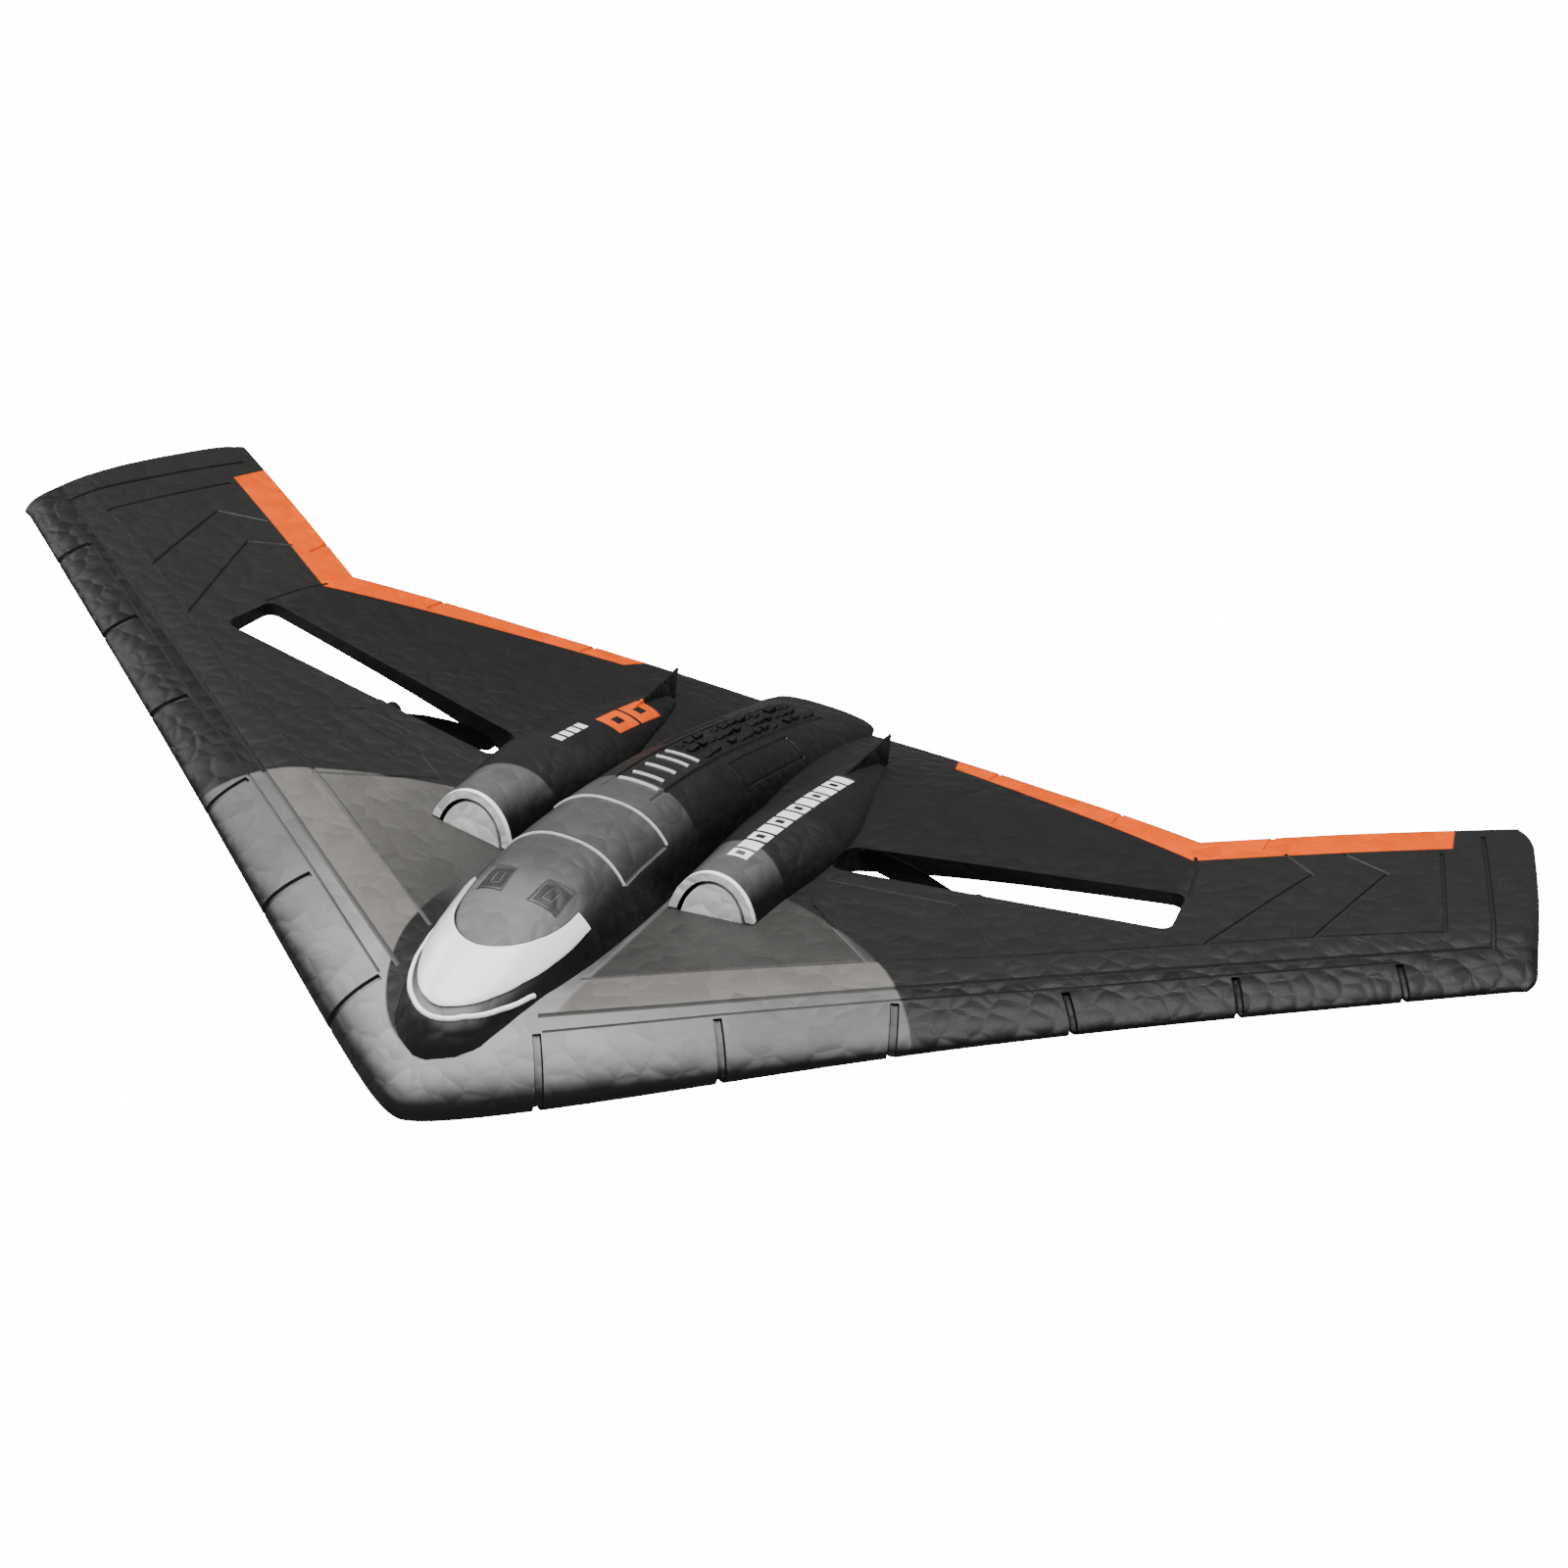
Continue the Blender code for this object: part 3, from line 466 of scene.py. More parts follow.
def box_between(name, low, high, mat):
    bpy.ops.mesh.primitive_cube_add(size=1.0, location=(0, 0, 0))
    obj = bpy.context.object
    obj.name = name
    low, high = Vector(low), Vector(high)
    for vert in obj.data.vertices:
        vert.co = [(low[i] + high[i]) / 2 + vert.co[i] * (high[i] - low[i]) for i in range(3)]
    obj.data.materials.append(mat)
    return obj


SLOT_CORNERS = [(38.6, 3.6), (107.6, 6.6), (106.4, 22.4), (38.6, 14.6)]
HUB_X = 68.0
HUB_Z = 28.0
for side in (1, -1):
    corners = [(side * x, y) for x, y in SLOT_CORNERS]
    boolean(foam, cut_prism("slot_cutter", corners, 0.0, 60.0, shaded_wall_mat, 2.5), "DIFFERENCE")
    boolean(foam, rod_between("motor_bore", (side * HUB_X * MM, -20.5 * MM, HUB_Z * MM),
                              (side * HUB_X * MM, 8.0 * MM, HUB_Z * MM), 4.4 * MM, shaded_wall_mat), "DIFFERENCE")
boolean(foam, box_between("pod_pocket", (-20.3 * MM, -30.3 * MM, -1.0 * MM), (20.3 * MM, 38.3 * MM, 23.0 * MM),
                          shaded_wall_mat), "DIFFERENCE")


def strand(name, places, radius, mat, roundness=1):
    """A bead with closed ends swept through the places, as a mesh."""
    curve = bpy.data.curves.new(name, "CURVE")
    curve.dimensions = "3D"
    curve.bevel_depth = radius
    curve.bevel_resolution = roundness
    curve.use_fill_caps = True
    spline = curve.splines.new("POLY")
    spline.points.add(len(places) - 1)
    for point, place in zip(spline.points, places):
        point.co = (*place, 1.0)
    obj = bpy.data.objects.new(name, curve)
    bpy.context.scene.collection.objects.link(obj)
    activate(obj)
    bpy.ops.object.convert(target="MESH")
    obj = bpy.context.object
    obj.data.materials.clear()
    obj.data.materials.append(mat)
    clean(obj, 0.000001)
    return obj


def over_skin(points, lift=0.0, spacing=1.3):
    """Places on the skin along straight runs between (x, y) points in mm."""
    spots = []
    for (x0, y0), (x1, y1) in zip(points[:-1], points[1:]):
        count = max(2, int(math.hypot(x1 - x0, y1 - y0) / spacing))
        spots += [(x0 + (x1 - x0) * i / count, y0 + (y1 - y0) * i / count) for i in range(count)]
    spots.append(points[-1])
    spots = np.array(spots) * MM
    heights = skin_top(spots[:, 0], spots[:, 1]) + lift * MM
    return [(x, y, z) for (x, y), z in zip(spots, heights)]


def merged(pieces):
    """One clean solid from pieces that may cross one another."""
    first, others = pieces[0], pieces[1:]
    activate(others[0])
    for other in others:
        other.select_set(True)
    bpy.ops.object.join()
    boolean(first, bpy.context.object, "UNION", self_overlap=True)
    return first


PANEL_LINES = [
    ([(14.6, -71.4), (36.9, -56.6), (60.5, -40.8), (164.5, 27.9), (153.2, 79.0)], 0.62),
    ([(17.0, -74.0), (43.2, -56.0), (70.1, -38.1), (96.7, -20.9), (123.3, -2.6), (149.6, 15.2)], 0.36),
    ([(16.0, -58.0), (32.0, -47.3), (56.5, -31.5), (82.1, -17.4), (115.2, 3.9), (133.1, 15.5),
      (155.1, 28.7), (147.3, 65.3)], 0.5),
    ([(115.2, 3.9), (126.3, 42.4), (118.9, 49.7)], 0.5),
    ([(133.1, 15.5), (139.7, 49.7), (129.8, 55.2)], 0.5),
    ([(82.1, -17.4), (67.0, -0.6), (39.9, -1.4)], 0.5),
    ([(71.0, -5.6), (49.0, -7.6), (41.8, -12.4), (61.0, -30.0)], 0.5),
    ([(107.2, 21.5), (105.2, 33.0), (103.1, 40.0)], 0.45),
    ([(163.4, 37.0), (172.6, 39.6)], 0.6),
]
TICKS = [
    ((20.9, -81.1), (16.3, -74.8)), ((47.1, -62.3), (43.2, -56.9)), ((73.5, -46.8), (70.1, -38.9)),
    ((100.0, -26.5), (96.7, -21.9)), ((126.5, -9.5), (123.3, -3.3)), ((153.0, 8.7), (149.6, 14.8)),
]


def tick_places(front, rear, side):
    """Places from behind the leading edge, round it, and a little way back underneath."""
    direction = np.array(rear) - np.array(front)
    direction = direction / np.linalg.norm(direction)
    start = np.array(rear)
    for _ in range(40):
        if leading_edge(start[0] * MM) / MM >= start[1]:
            break
        start = start - direction * 0.4
    reach = np.linalg.norm(np.array(rear) - start)
    places = []
    for s in np.linspace(1.0, 0.0, 14):
        x, y = (start + direction * reach * s * s) * MM
        places.append((side * x, y, float(wing_top(x, y))))
    for s in np.linspace(0.15, 0.8, 8):
        x, y = (start + direction * reach * s * s) * MM
        places.append((side * x, y, float(wing_under(x, y))))
    return places


REAR_NOTCHES = [(82.7, 57.0), (50.7, 72.3), (114.6, 56.9)]
lines = []
for side in (1, -1):
    for points, radius in PANEL_LINES:
        run = over_skin([(side * x, y) for x, y in points])
        lines.append(strand("panel_line", run, 0.9 * radius * MM, shaded_groove_mat))
    for front, rear in TICKS:
        lines.append(strand("edge_tick", tick_places(front, rear, side), 0.85 * MM, foam_mat, 2))
    for x, y in REAR_NOTCHES:
        notch = over_skin([(side * x, y - 7.0), (side * x, y + 2.2)])
        lines.append(strand("edge_notch", notch, 0.5 * MM, foam_mat))
boolean(foam, merged(lines), "DIFFERENCE")

# Grooves and ribs pressed into the spine.
SPINE_LINES = [
    ("spine_side_line", [(12.6, -35.6), (12.4, -18.0)], 0.5, 1.3),
    ("channel_side", [(5.4, -12.0), (5.2, 79.0)], 0.55, 1.3),
    ("side_panel", [(7.6, 20.5), (7.6, 52.0), (12.4, 52.0), (12.4, 20.5), (7.6, 20.5)], 0.45, 1.3),
    ("side_window", [(2.8, -56.4), (3.4, -49.6), (8.6, -48.2), (8.6, -55.6), (2.8, -56.4)], 0.3, 0.8),
    ("window_pane", [(4.6, -54.0), (5.0, -50.9), (6.6, -50.6), (6.4, -53.7), (4.6, -54.0)], 0.22, 0.6),
]
dark_lines = []
for side in (1, -1):
    for name, points, radius, spacing in SPINE_LINES:
        run = over_skin([(side * x, y) for x, y in points], spacing=spacing)
        dark_lines.append(strand(name, run, radius * MM, shaded_groove_mat))
boolean(foam, merged(dark_lines), "DIFFERENCE")
SPINE_RIBS = [
    ("spine_arc", -36.0, 12.6, 0.34), ("spine_arc", -17.8, 12.4, 0.34), ("ladder_rung", -6.7, 4.4, 0.42),
    ("ladder_rung", -2.3, 3.4, 0.42), ("ladder_rung", 3.2, 3.4, 0.42), ("ladder_rung", 8.7, 3.6, 0.42),
    ("ladder_rung", 13.4, 3.8, 0.42),
]
bright = []
for name, y, reach, radius in SPINE_RIBS:
    bright.append(strand(name, over_skin([(-reach, y), (reach, y)], spacing=0.8), radius * MM, highlight_line_mat))
boolean(foam, merged(bright), "UNION")
CANOPY_CENTRE = (0.0, -49.0)
RING_TURNS = [math.radians(degrees) for degrees in range(-84, 57, 4)]
ring_points = [(14.6 * math.sin(turn), CANOPY_CENTRE[1] - 35.1 * math.cos(turn)) for turn in RING_TURNS]
ring = strand("canopy_ring", over_skin(ring_points, lift=0.1, spacing=0.9), 0.5 * MM, white_mat, 2)
boolean(foam, ring, "UNION")


# Engine intakes: a pale lip round each hump's front face, a dark arc behind it whose black is painted shade in
# the gap, and a bead-faced plug.
HUMP_OUT = 26.8
INTAKE_BODIES = [
    ("intake_gap", [(-25.52, 11.1, 7.6, HUMP_OUT), (-23.0, 11.1, 7.6, HUMP_OUT)], shaded_wall_mat, "DIFFERENCE"),
    ("intake_plug", [(-25.4, 10.2, 6.7, HUMP_OUT), (-22.5, 10.2, 6.7, HUMP_OUT)], white_mat, "UNION"),
]
for side in (1, -1):
    for name, stations, mat, operation in INTAKE_BODIES:
        body = grid_by_rule(name, 2, 48, arch_rule(np.array(stations) * MM, side, *HUMP_ARCH))
        close_ends(body)
        body.data.materials.append(mat)
        boolean(foam, body, operation)
    # A thin fin carries each hump's ridge on to the rear.
    bpy.ops.mesh.primitive_cube_add(size=2.0, location=(0, 0, 0))
    fin = bpy.context.object
    for vert in fin.data.vertices:
        across, along, up = vert.co
        y = 42.0 if along < 0 else (66.0 if up > 0 else 62.0)
        z = (30.4 if along < 0 else 30.9) if up > 0 else 23.5
        half = 0.25 if up > 0 else 1.9
        vert.co = (side * (25.4 + across * half + (0.9 if along > 0 else 0.0)) * MM, y * MM, z * MM)
    clean(fin)
    fin.data.materials.append(foam_mat)
    boolean(foam, fin, "UNION")

# Raised moulded blocks fill the rear of the spine's channel.
blocks = []
for row in range(14):
    y = 18.6 + 4.35 * row
    for column, (x, half_x) in enumerate(((-3.1, 1.3), (0.0, 1.1), (3.1, 1.3))):
        if (row * 3 + column * 5) % 7 == 2:
            continue
        long = 1.1 + 0.35 * ((row * 5 + column * 3) % 4)
        wide = half_x * (0.65 + 0.12 * ((row * 2 + column) % 4))
        proud = 0.35 + 0.22 * ((row + column * 2) % 4)
        top = float(skin_top(np.array(abs(x) * MM), np.array(y * MM))) / MM
        block = box_between("spine_block", ((x - wide) * MM, (y - long) * MM, (top - 3.0) * MM),
                            ((x + wide) * MM, (y + long) * MM, (top + proud) * MM), foam_mat)
        for vert in block.data.vertices:
            if vert.co.z > (top - 1.0) * MM:
                vert.co.x = x * MM + (vert.co.x - x * MM) * 0.72
                vert.co.y = y * MM + (vert.co.y - y * MM) * 0.82
        blocks.append(block)
activate(blocks[0])
for block in blocks:
    block.select_set(True)
bpy.ops.object.join()
boolean(foam, bpy.context.object, "UNION")

# Expanded polypropylene: soft semi-gloss beads moulded against one another, so a crease shows round
# each bead. Charcoal is sprayed first, then the pale nose fade and the masked orange rear band.
BEAD_SIZE = 4.2 * MM


def bead_relief(mat, shader, depth):
    """Creases between the beads and a fine grain; returns how light or dark each bead is."""
    place = add_node(mat, "ShaderNodeTexCoord").outputs["Object"]
    wander = add_node(mat, "ShaderNodeTexNoise", {"Scale": 0.45 / BEAD_SIZE, "Detail": 1.0}, {"Vector": place})
    shift = add_node(mat, "ShaderNodeVectorMath", {"operation": "MULTIPLY_ADD", 1: (0.4 * BEAD_SIZE,) * 3},
                     {0: wander.outputs["Color"], 2: place}).outputs[0]
    cells = add_node(mat, "ShaderNodeTexVoronoi", {"feature": "DISTANCE_TO_EDGE", "Scale": 1.0 / BEAD_SIZE},
                     {"Vector": shift})
    domes = add_node(mat, "ShaderNodeTexVoronoi", {"feature": "SMOOTH_F1", "Scale": 1.0 / BEAD_SIZE},
                     {"Vector": shift})
    crease = add_node(mat, "ShaderNodeMapRange",
                      {"interpolation_type": "SMOOTHSTEP", "From Min": -0.08, "From Max": 0.3, "To Max": 0.35},
                      {"Value": cells.outputs["Distance"]}).outputs[0]
    dome = add_node(mat, "ShaderNodeMath", {"operation": "MULTIPLY", 1: -1.1},
                    {0: domes.outputs["Distance"]}).outputs[0]
    height = add_node(mat, "ShaderNodeMath", {"operation": "ADD"}, {0: crease, 1: dome}).outputs[0]
    bump = add_node(mat, "ShaderNodeBump", {"Strength": 0.85, "Distance": depth}, {"Height": height})
    grain = add_node(mat, "ShaderNodeTexNoise", {"Scale": 1.0 / (0.5 * MM), "Detail": 3.0}, {"Vector": place})
    fine = add_node(mat, "ShaderNodeBump", {"Strength": 0.16, "Distance": 0.05 * MM},
                    {"Height": grain.outputs["Fac"], "Normal": bump.outputs[0]})
    link(mat, fine.outputs[0], shader.inputs["Normal"])
    gloss = add_node(mat, "ShaderNodeMapRange", {"To Min": 0.36, "To Max": 0.58},
                     {"Value": grain.outputs["Fac"]})
    link(mat, gloss.outputs[0], shader.inputs["Roughness"])
    tint = add_node(mat, "ShaderNodeTexVoronoi", {"Scale": 1.0 / BEAD_SIZE}, {"Vector": shift})
    shade = add_node(mat, "ShaderNodeSeparateColor", links={0: tint.outputs["Color"]}).outputs[0]
    return add_node(mat, "ShaderNodeMapRange", {"To Min": 0.9, "To Max": 1.1}, {"Value": shade}).outputs[0]


def past(mat, value, edge, soft=0.25):
    """1 where a length is past an edge, 0 before it; both in mm."""
    node = add_node(mat, "ShaderNodeMapRange",
                    {"interpolation_type": "SMOOTHSTEP",
                     "From Min": (edge - soft) * MM, "From Max": (edge + soft) * MM}, {"Value": value})
    return node.outputs[0]


def all_of(mat, *masks):
    result = masks[0]
    for mask in masks[1:]:
        result = add_node(mat, "ShaderNodeMath", {"operation": "MULTIPLY"}, {0: result, 1: mask}).outputs[0]
    return result


def none_of(mat, mask):
    return add_node(mat, "ShaderNodeMath", {"operation": "SUBTRACT", 0: 1.0}, {1: mask}).outputs[0]


def between(mat, value, low, high, soft=0.12):
    return all_of(mat, past(mat, value, low, soft), none_of(mat, past(mat, value, high, soft)))


def masked_layer(mat, under, hex_colour, mask):
    """The colour after one more masked layer, used for coats of paint and for painted light and shade."""
    node = add_node(mat, "ShaderNodeMix", {"data_type": "RGBA"})
    link(mat, mask, node.inputs["Factor"])
    link(mat, under, node.inputs[6])
    if isinstance(hex_colour, str):
        node.inputs[7].default_value = linear(hex_colour)
    else:
        link(mat, hex_colour, node.inputs[7])
    return node.outputs[2]


def from_ellipse(mat, place, centre, radii):
    """How many radii a place is from an upright elliptic cylinder's axis, as a length in mm."""
    middle = (centre[0] * MM, centre[1] * MM, 0.0)
    shares = (1.0 / radii[0], 1.0 / radii[1], 0.0)
    moved = add_node(mat, "ShaderNodeVectorMath", {"operation": "SUBTRACT", 1: middle}, {0: place}).outputs[0]
    scaled = add_node(mat, "ShaderNodeVectorMath", {"operation": "MULTIPLY", 1: shares}, {0: moved}).outputs[0]
    return add_node(mat, "ShaderNodeVectorMath", {"operation": "LENGTH"}, {0: scaled}).outputs["Value"]


mat = foam_mat
variation = bead_relief(foam_mat, foam_shader, 0.45 * MM)
place = add_node(mat, "ShaderNodeTexCoord").outputs["Object"]
facing = add_node(mat, "ShaderNodeSeparateXYZ", links={0: add_node(mat, "ShaderNodeTexCoord").outputs["Normal"]})
split = add_node(mat, "ShaderNodeSeparateXYZ", links={0: place})
x_place, y_place, z_place = split.outputs["X"], split.outputs["Y"], split.outputs["Z"]
x_out = add_node(mat, "ShaderNodeMath", {"operation": "ABSOLUTE"}, {0: x_place}).outputs[0]
folded = add_node(mat, "ShaderNodeCombineXYZ", links={"X": x_out, "Y": y_place, "Z": z_place}).outputs[0]


def skewed(x_share, y_share, z_share=0.0):
    """Distance along a slanting direction, with both wings folded together."""
    return add_node(mat, "ShaderNodeVectorMath", {"operation": "DOT_PRODUCT", 1: (x_share, y_share, z_share)},
                    {0: folded}).outputs["Value"]


NOSE_SPRAY = (0.0, -98.0)
PALE_REACH = 93.0
WING_TILT = (-DIHEDRAL, 0.0, 1.0)
HOOD_CENTRE = (0.0, -50.5)
HOOD_RADII = (10.9, 19.8)
FIRST_COAT = 0.62
ORANGE = "#D04A00"
MARKING_WHITE = "#E4E4E4"

upward = add_node(mat, "ShaderNodeMath", {"operation": "GREATER_THAN", 1: -0.3},
                  {0: facing.outputs["Z"]}).outputs[0]
# Charcoal all over, a tone darker behind the slots and on the edge bar, and near black as painted shade on faces
# tilted away from the top.
paint = plain(mat, "#262625")
rear_panel = all_of(mat, past(mat, y_place, 12.0, 2.0), none_of(mat, past(mat, x_out, 104.0, 1.0)))
paint = masked_layer(mat, paint, "#1F1F1F", rear_panel)

# How far a face turns to the top, from 0.02 to 1: it sets the painted shade and the painted light.
painted_top_light = add_node(mat, "ShaderNodeMapRange",
                      {"interpolation_type": "SMOOTHSTEP", "From Min": 0.45, "From Max": 0.97, "To Min": 0.02},
                      {"Value": facing.outputs["Z"]}).outputs[0]
behind_outer = past(mat, skewed(-0.662, 1.0), -81.1)
paint = masked_layer(mat, paint, "#151515", none_of(mat, behind_outer))
paint = masked_layer(mat, paint, "#0F0F0F", all_of(mat, none_of(mat, painted_top_light), upward))

# The pale nose: a masked round coat that thins away from the nose, with a cream strip and a darker panel behind
# the edge bar, and darker again over the spine and humps. The panel is darker on the right wing than on the
# left: painted shade and painted light.
nose_reach = from_ellipse(mat, folded, NOSE_SPRAY, (1.0, 1.0))
pale_zone = none_of(mat, past(mat, nose_reach, PALE_REACH, 0.3))
fade = add_node(mat, "ShaderNodeMapRange", {"From Min": 12.0 * MM, "From Max": 70.0 * MM}, {"Value": nose_reach})
pale = masked_layer(mat, plain(mat, "#BABABA"), "#707070", fade.outputs[0])
on_spine = all_of(mat, none_of(mat, past(mat, x_out, 16.8, 0.6)), past(mat, y_place, -58.0, 14.0))
pale = masked_layer(mat, pale, "#565656", on_spine)
on_hump = all_of(mat, between(mat, x_out, 16.8, 39.0, 0.5), past(mat, y_place, -27.0, 0.5),
                 past(mat, skewed(*WING_TILT), 25.6))
pale = masked_layer(mat, pale, "#626262", on_hump)
behind_inner = past(mat, skewed(-0.62, 1.0), -67.6)
off_spine = all_of(mat, past(mat, x_out, 17.2, 0.6), none_of(mat, past(mat, skewed(*WING_TILT), 25.5)))
pale = masked_layer(mat, pale, "#77746F", all_of(mat, behind_outer, off_spine))
pale = masked_layer(mat, pale, "#464543", all_of(mat, behind_inner, off_spine))
# Painted light and shade: the panel behind the inner line is lighter on the left wing, the lit side, than on the
# right wing, the shaded side.
left_painted_light = all_of(mat, behind_inner, off_spine, none_of(mat, past(mat, x_place, -36.0, 20.0)))
pale = masked_layer(mat, pale, "#6A6865", left_painted_light)
# Painted light: the pale coat lies only on faces turned to the top and fades out on steeper faces.
paint = masked_layer(mat, paint, pale, all_of(mat, pale_zone, painted_top_light))

# The canopy: a pale roof, a dark seam round it, smoked side windows, and a painted shadow of the spine's base
# round its front and left side.
hood = from_ellipse(mat, folded, HOOD_CENTRE, HOOD_RADII)
roof = all_of(mat, none_of(mat, past(mat, hood, 1.0, 0.03)), none_of(mat, past(mat, y_place, -53.0, 9.0)),
              upward)
paint = masked_layer(mat, paint, "#7C7C7C", roof)
glazed = all_of(mat, between(mat, x_out, 3.3, 8.4, 0.3), between(mat, y_place, -55.6, -49.2, 0.5), upward)
paint = masked_layer(mat, paint, "#3C3C3C", glazed)
seam = all_of(mat, between(mat, hood, 0.965, 1.035, 0.02), none_of(mat, past(mat, y_place, -51.0, 1.0)),
              upward)
paint = masked_layer(mat, paint, "#1E1E1E", seam)
# Painted shadow: a dark band round the canopy's front on the left side only, where the spine's base casts shade.
border = from_ellipse(mat, folded, CANOPY_CENTRE, (20.4, 37.8))
inside_border = none_of(mat, past(mat, border, 1.0, 0.012))
ring_edge = from_ellipse(mat, folded, CANOPY_CENTRE, (15.6, 35.0))
spine_base_painted_shadow = all_of(mat, inside_border, past(mat, ring_edge, 1.0, 0.02),
                      none_of(mat, past(mat, x_place, 4.0, 5.0)), none_of(mat, past(mat, y_place, -46.0, 5.0)))
paint = masked_layer(mat, paint, "#232323", all_of(mat, spine_base_painted_shadow, upward))

# The coats so far are matt and thin; the orange is a second, thicker coat.
paint = add_node(mat, "ShaderNodeVectorMath", {"operation": "SCALE", "Scale": FIRST_COAT}, {0: paint}).outputs[0]
orange = all_of(mat, past(mat, skewed(0.5057, 1.0), 90.34), past(mat, skewed(-0.6696, 1.0), -30.83),
                past(mat, skewed(1.0, 0.2366), 57.8), none_of(mat, past(mat, skewed(1.0, 0.1364), 158.2)),
                upward)
paint = masked_layer(mat, paint, ORANGE, orange)

sheen = add_node(mat, "ShaderNodeMapRange", {"To Min": 0.24, "To Max": 0.02}, {"Value": orange}).outputs[0]
link(mat, sheen, foam_shader.inputs["Specular IOR Level"])
lip = all_of(mat, between(mat, y_place, -26.4, -24.3), between(mat, x_out, 16.8, 37.4),
             past(mat, skewed(*WING_TILT), 25.35))
paint = masked_layer(mat, paint, "#F4F4F2", lip)


def repeats(value, start, pitch, low, high):
    """1 in a stretch of each pitch, from low to high as shares of it."""
    turn = add_node(mat, "ShaderNodeMath",
                    {"operation": "MULTIPLY_ADD", 1: 1.0 / (pitch * MM), 2: -start / pitch},
                    {0: value}).outputs[0]
    share = add_node(mat, "ShaderNodeMath", {"operation": "FRACT"}, {0: turn}).outputs[0]
    node = add_node(mat, "ShaderNodeMath", {"operation": "COMPARE", 1: (low + high) / 2, 2: (high - low) / 2},
                    {0: share})
    return node.outputs[0]


# Plain block markings on the humps: a long white row, a short white row and two orange squares.
row = all_of(mat, between(mat, x_place, 24.4, 28.6), between(mat, y_place, -16.0, 41.0),
             repeats(y_place, -16.0, 4.75, 0.0, 0.8))
eyes = all_of(mat, between(mat, x_place, 25.5, 27.4), repeats(y_place, -16.0, 9.5, 0.12, 0.30))
paint = masked_layer(mat, paint, MARKING_WHITE, all_of(mat, row, none_of(mat, eyes), upward))
short_row = all_of(mat, between(mat, x_place, -28.4, -25.9), between(mat, y_place, 9.5, 22.6),
                   repeats(y_place, 9.5, 3.3, 0.0, 0.72))
paint = masked_layer(mat, paint, MARKING_WHITE, all_of(mat, short_row, upward))
squares = all_of(mat, between(mat, x_place, -27.0, -20.8), between(mat, y_place, 27.0, 47.6),
                 repeats(y_place, 27.0, 10.6, 0.0, 0.9))
holes = all_of(mat, between(mat, x_place, -25.0, -22.8), repeats(y_place, 27.0, 10.6, 0.3, 0.6))
paint = masked_layer(mat, paint, ORANGE, all_of(mat, squares, none_of(mat, holes), upward))
speckled = add_node(mat, "ShaderNodeVectorMath", {"operation": "SCALE"},
                    {0: paint, "Scale": variation}).outputs[0]
link(mat, speckled, foam_shader.inputs["Base Color"])

for other_mat, other_shader, depth in ((shaded_wall_mat, shaded_wall_shader, 0.2 * MM), (white_mat, white_shader, 0.3 * MM),
                                       (highlight_line_mat, highlight_line_shader, 0.1 * MM), (shaded_groove_mat, shaded_groove_shader, 0.1 * MM)):
    spread = bead_relief(other_mat, other_shader, depth)
    base = add_node(other_mat, "ShaderNodeRGB").outputs[0]
    base.default_value = other_shader.inputs["Base Color"].default_value
    # Inside the pale nose the grooves' painted shade is lighter.
    if other_mat is shaded_groove_mat:
        spot = add_node(other_mat, "ShaderNodeTexCoord").outputs["Object"]
        reach = from_ellipse(other_mat, spot, NOSE_SPRAY, (1.0, 1.0))
        near_nose = none_of(other_mat, past(other_mat, reach, PALE_REACH))
        base = masked_layer(other_mat, base, "#4E4E4D", near_nose)
    tinted = add_node(other_mat, "ShaderNodeVectorMath", {"operation": "SCALE"},
                      {0: base, "Scale": spread}).outputs[0]
    link(other_mat, tinted, other_shader.inputs["Base Color"])


# The trailing edge's rounding ends flush with the moulding's full length.
for vert in foam.data.vertices:
    vert.co.y = min(vert.co.y, HALF_LENGTH)
activate(foam)
bpy.ops.object.shade_smooth_by_angle(angle=math.radians(32))
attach(foam, "airframe")
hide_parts("foam_airframe")

# ------------------------------------------------------------------------------------------------
# Windshield. A thin glossy white printed panel, thermoformed to the spine's nose and held by a
# film of glue, with rolled edges.
# ------------------------------------------------------------------------------------------------


def windshield_rule(u, v):
    turn = u * math.radians(88.0)
    share = (v + 1) / 2
    x = (HOOD_RADII[0] + 2.4 * share) * np.sin(turn) * MM
    y = (HOOD_CENTRE[1] + 1.5 * share - (HOOD_RADII[1] + 13.9 * share) * np.cos(turn)) * MM
    edge = np.minimum(1.0 - np.abs(v), (1.0 - np.abs(u)) * 12.0)
    roll = 0.22 * MM * (1.0 - np.sqrt(1.0 - np.clip(1.0 - edge / 0.14, 0.0, 1.0) ** 2))
    return np.stack([x, y, spine_top(x, y) + 0.92 * MM - roll], -1)


windshield = grid_by_rule("windshield", 120, 28, windshield_rule)
clean(windshield)
apply_modifier(windshield, "SOLIDIFY", thickness=0.5 * MM, offset=-1.0)
clean(windshield)
# Gloss white sheet: a smooth bright crescent among the beads, greyer towards its left end.
film_mat, film_shader = new_material("gloss_white_polystyrene_sheet", "#F2F2F2", 0.16, ior=1.55)
place = add_node(film_mat, "ShaderNodeTexCoord").outputs["Object"]
haze = add_node(film_mat, "ShaderNodeTexNoise", {"Scale": 1.0 / (9.0 * MM), "Detail": 2.0}, {"Vector": place})
rough = add_node(film_mat, "ShaderNodeMapRange", {"To Min": 0.12, "To Max": 0.24},
                 {"Value": haze.outputs["Fac"]})
link(film_mat, rough.outputs[0], film_shader.inputs["Roughness"])
across_x = add_node(film_mat, "ShaderNodeSeparateXYZ", links={0: place}).outputs["X"]
left_end = none_of(film_mat, past(film_mat, across_x, -9.0, 6.0))
film_colour = masked_layer(film_mat, plain(film_mat, "#F6F6F6"), "#CFCFCF", left_end)
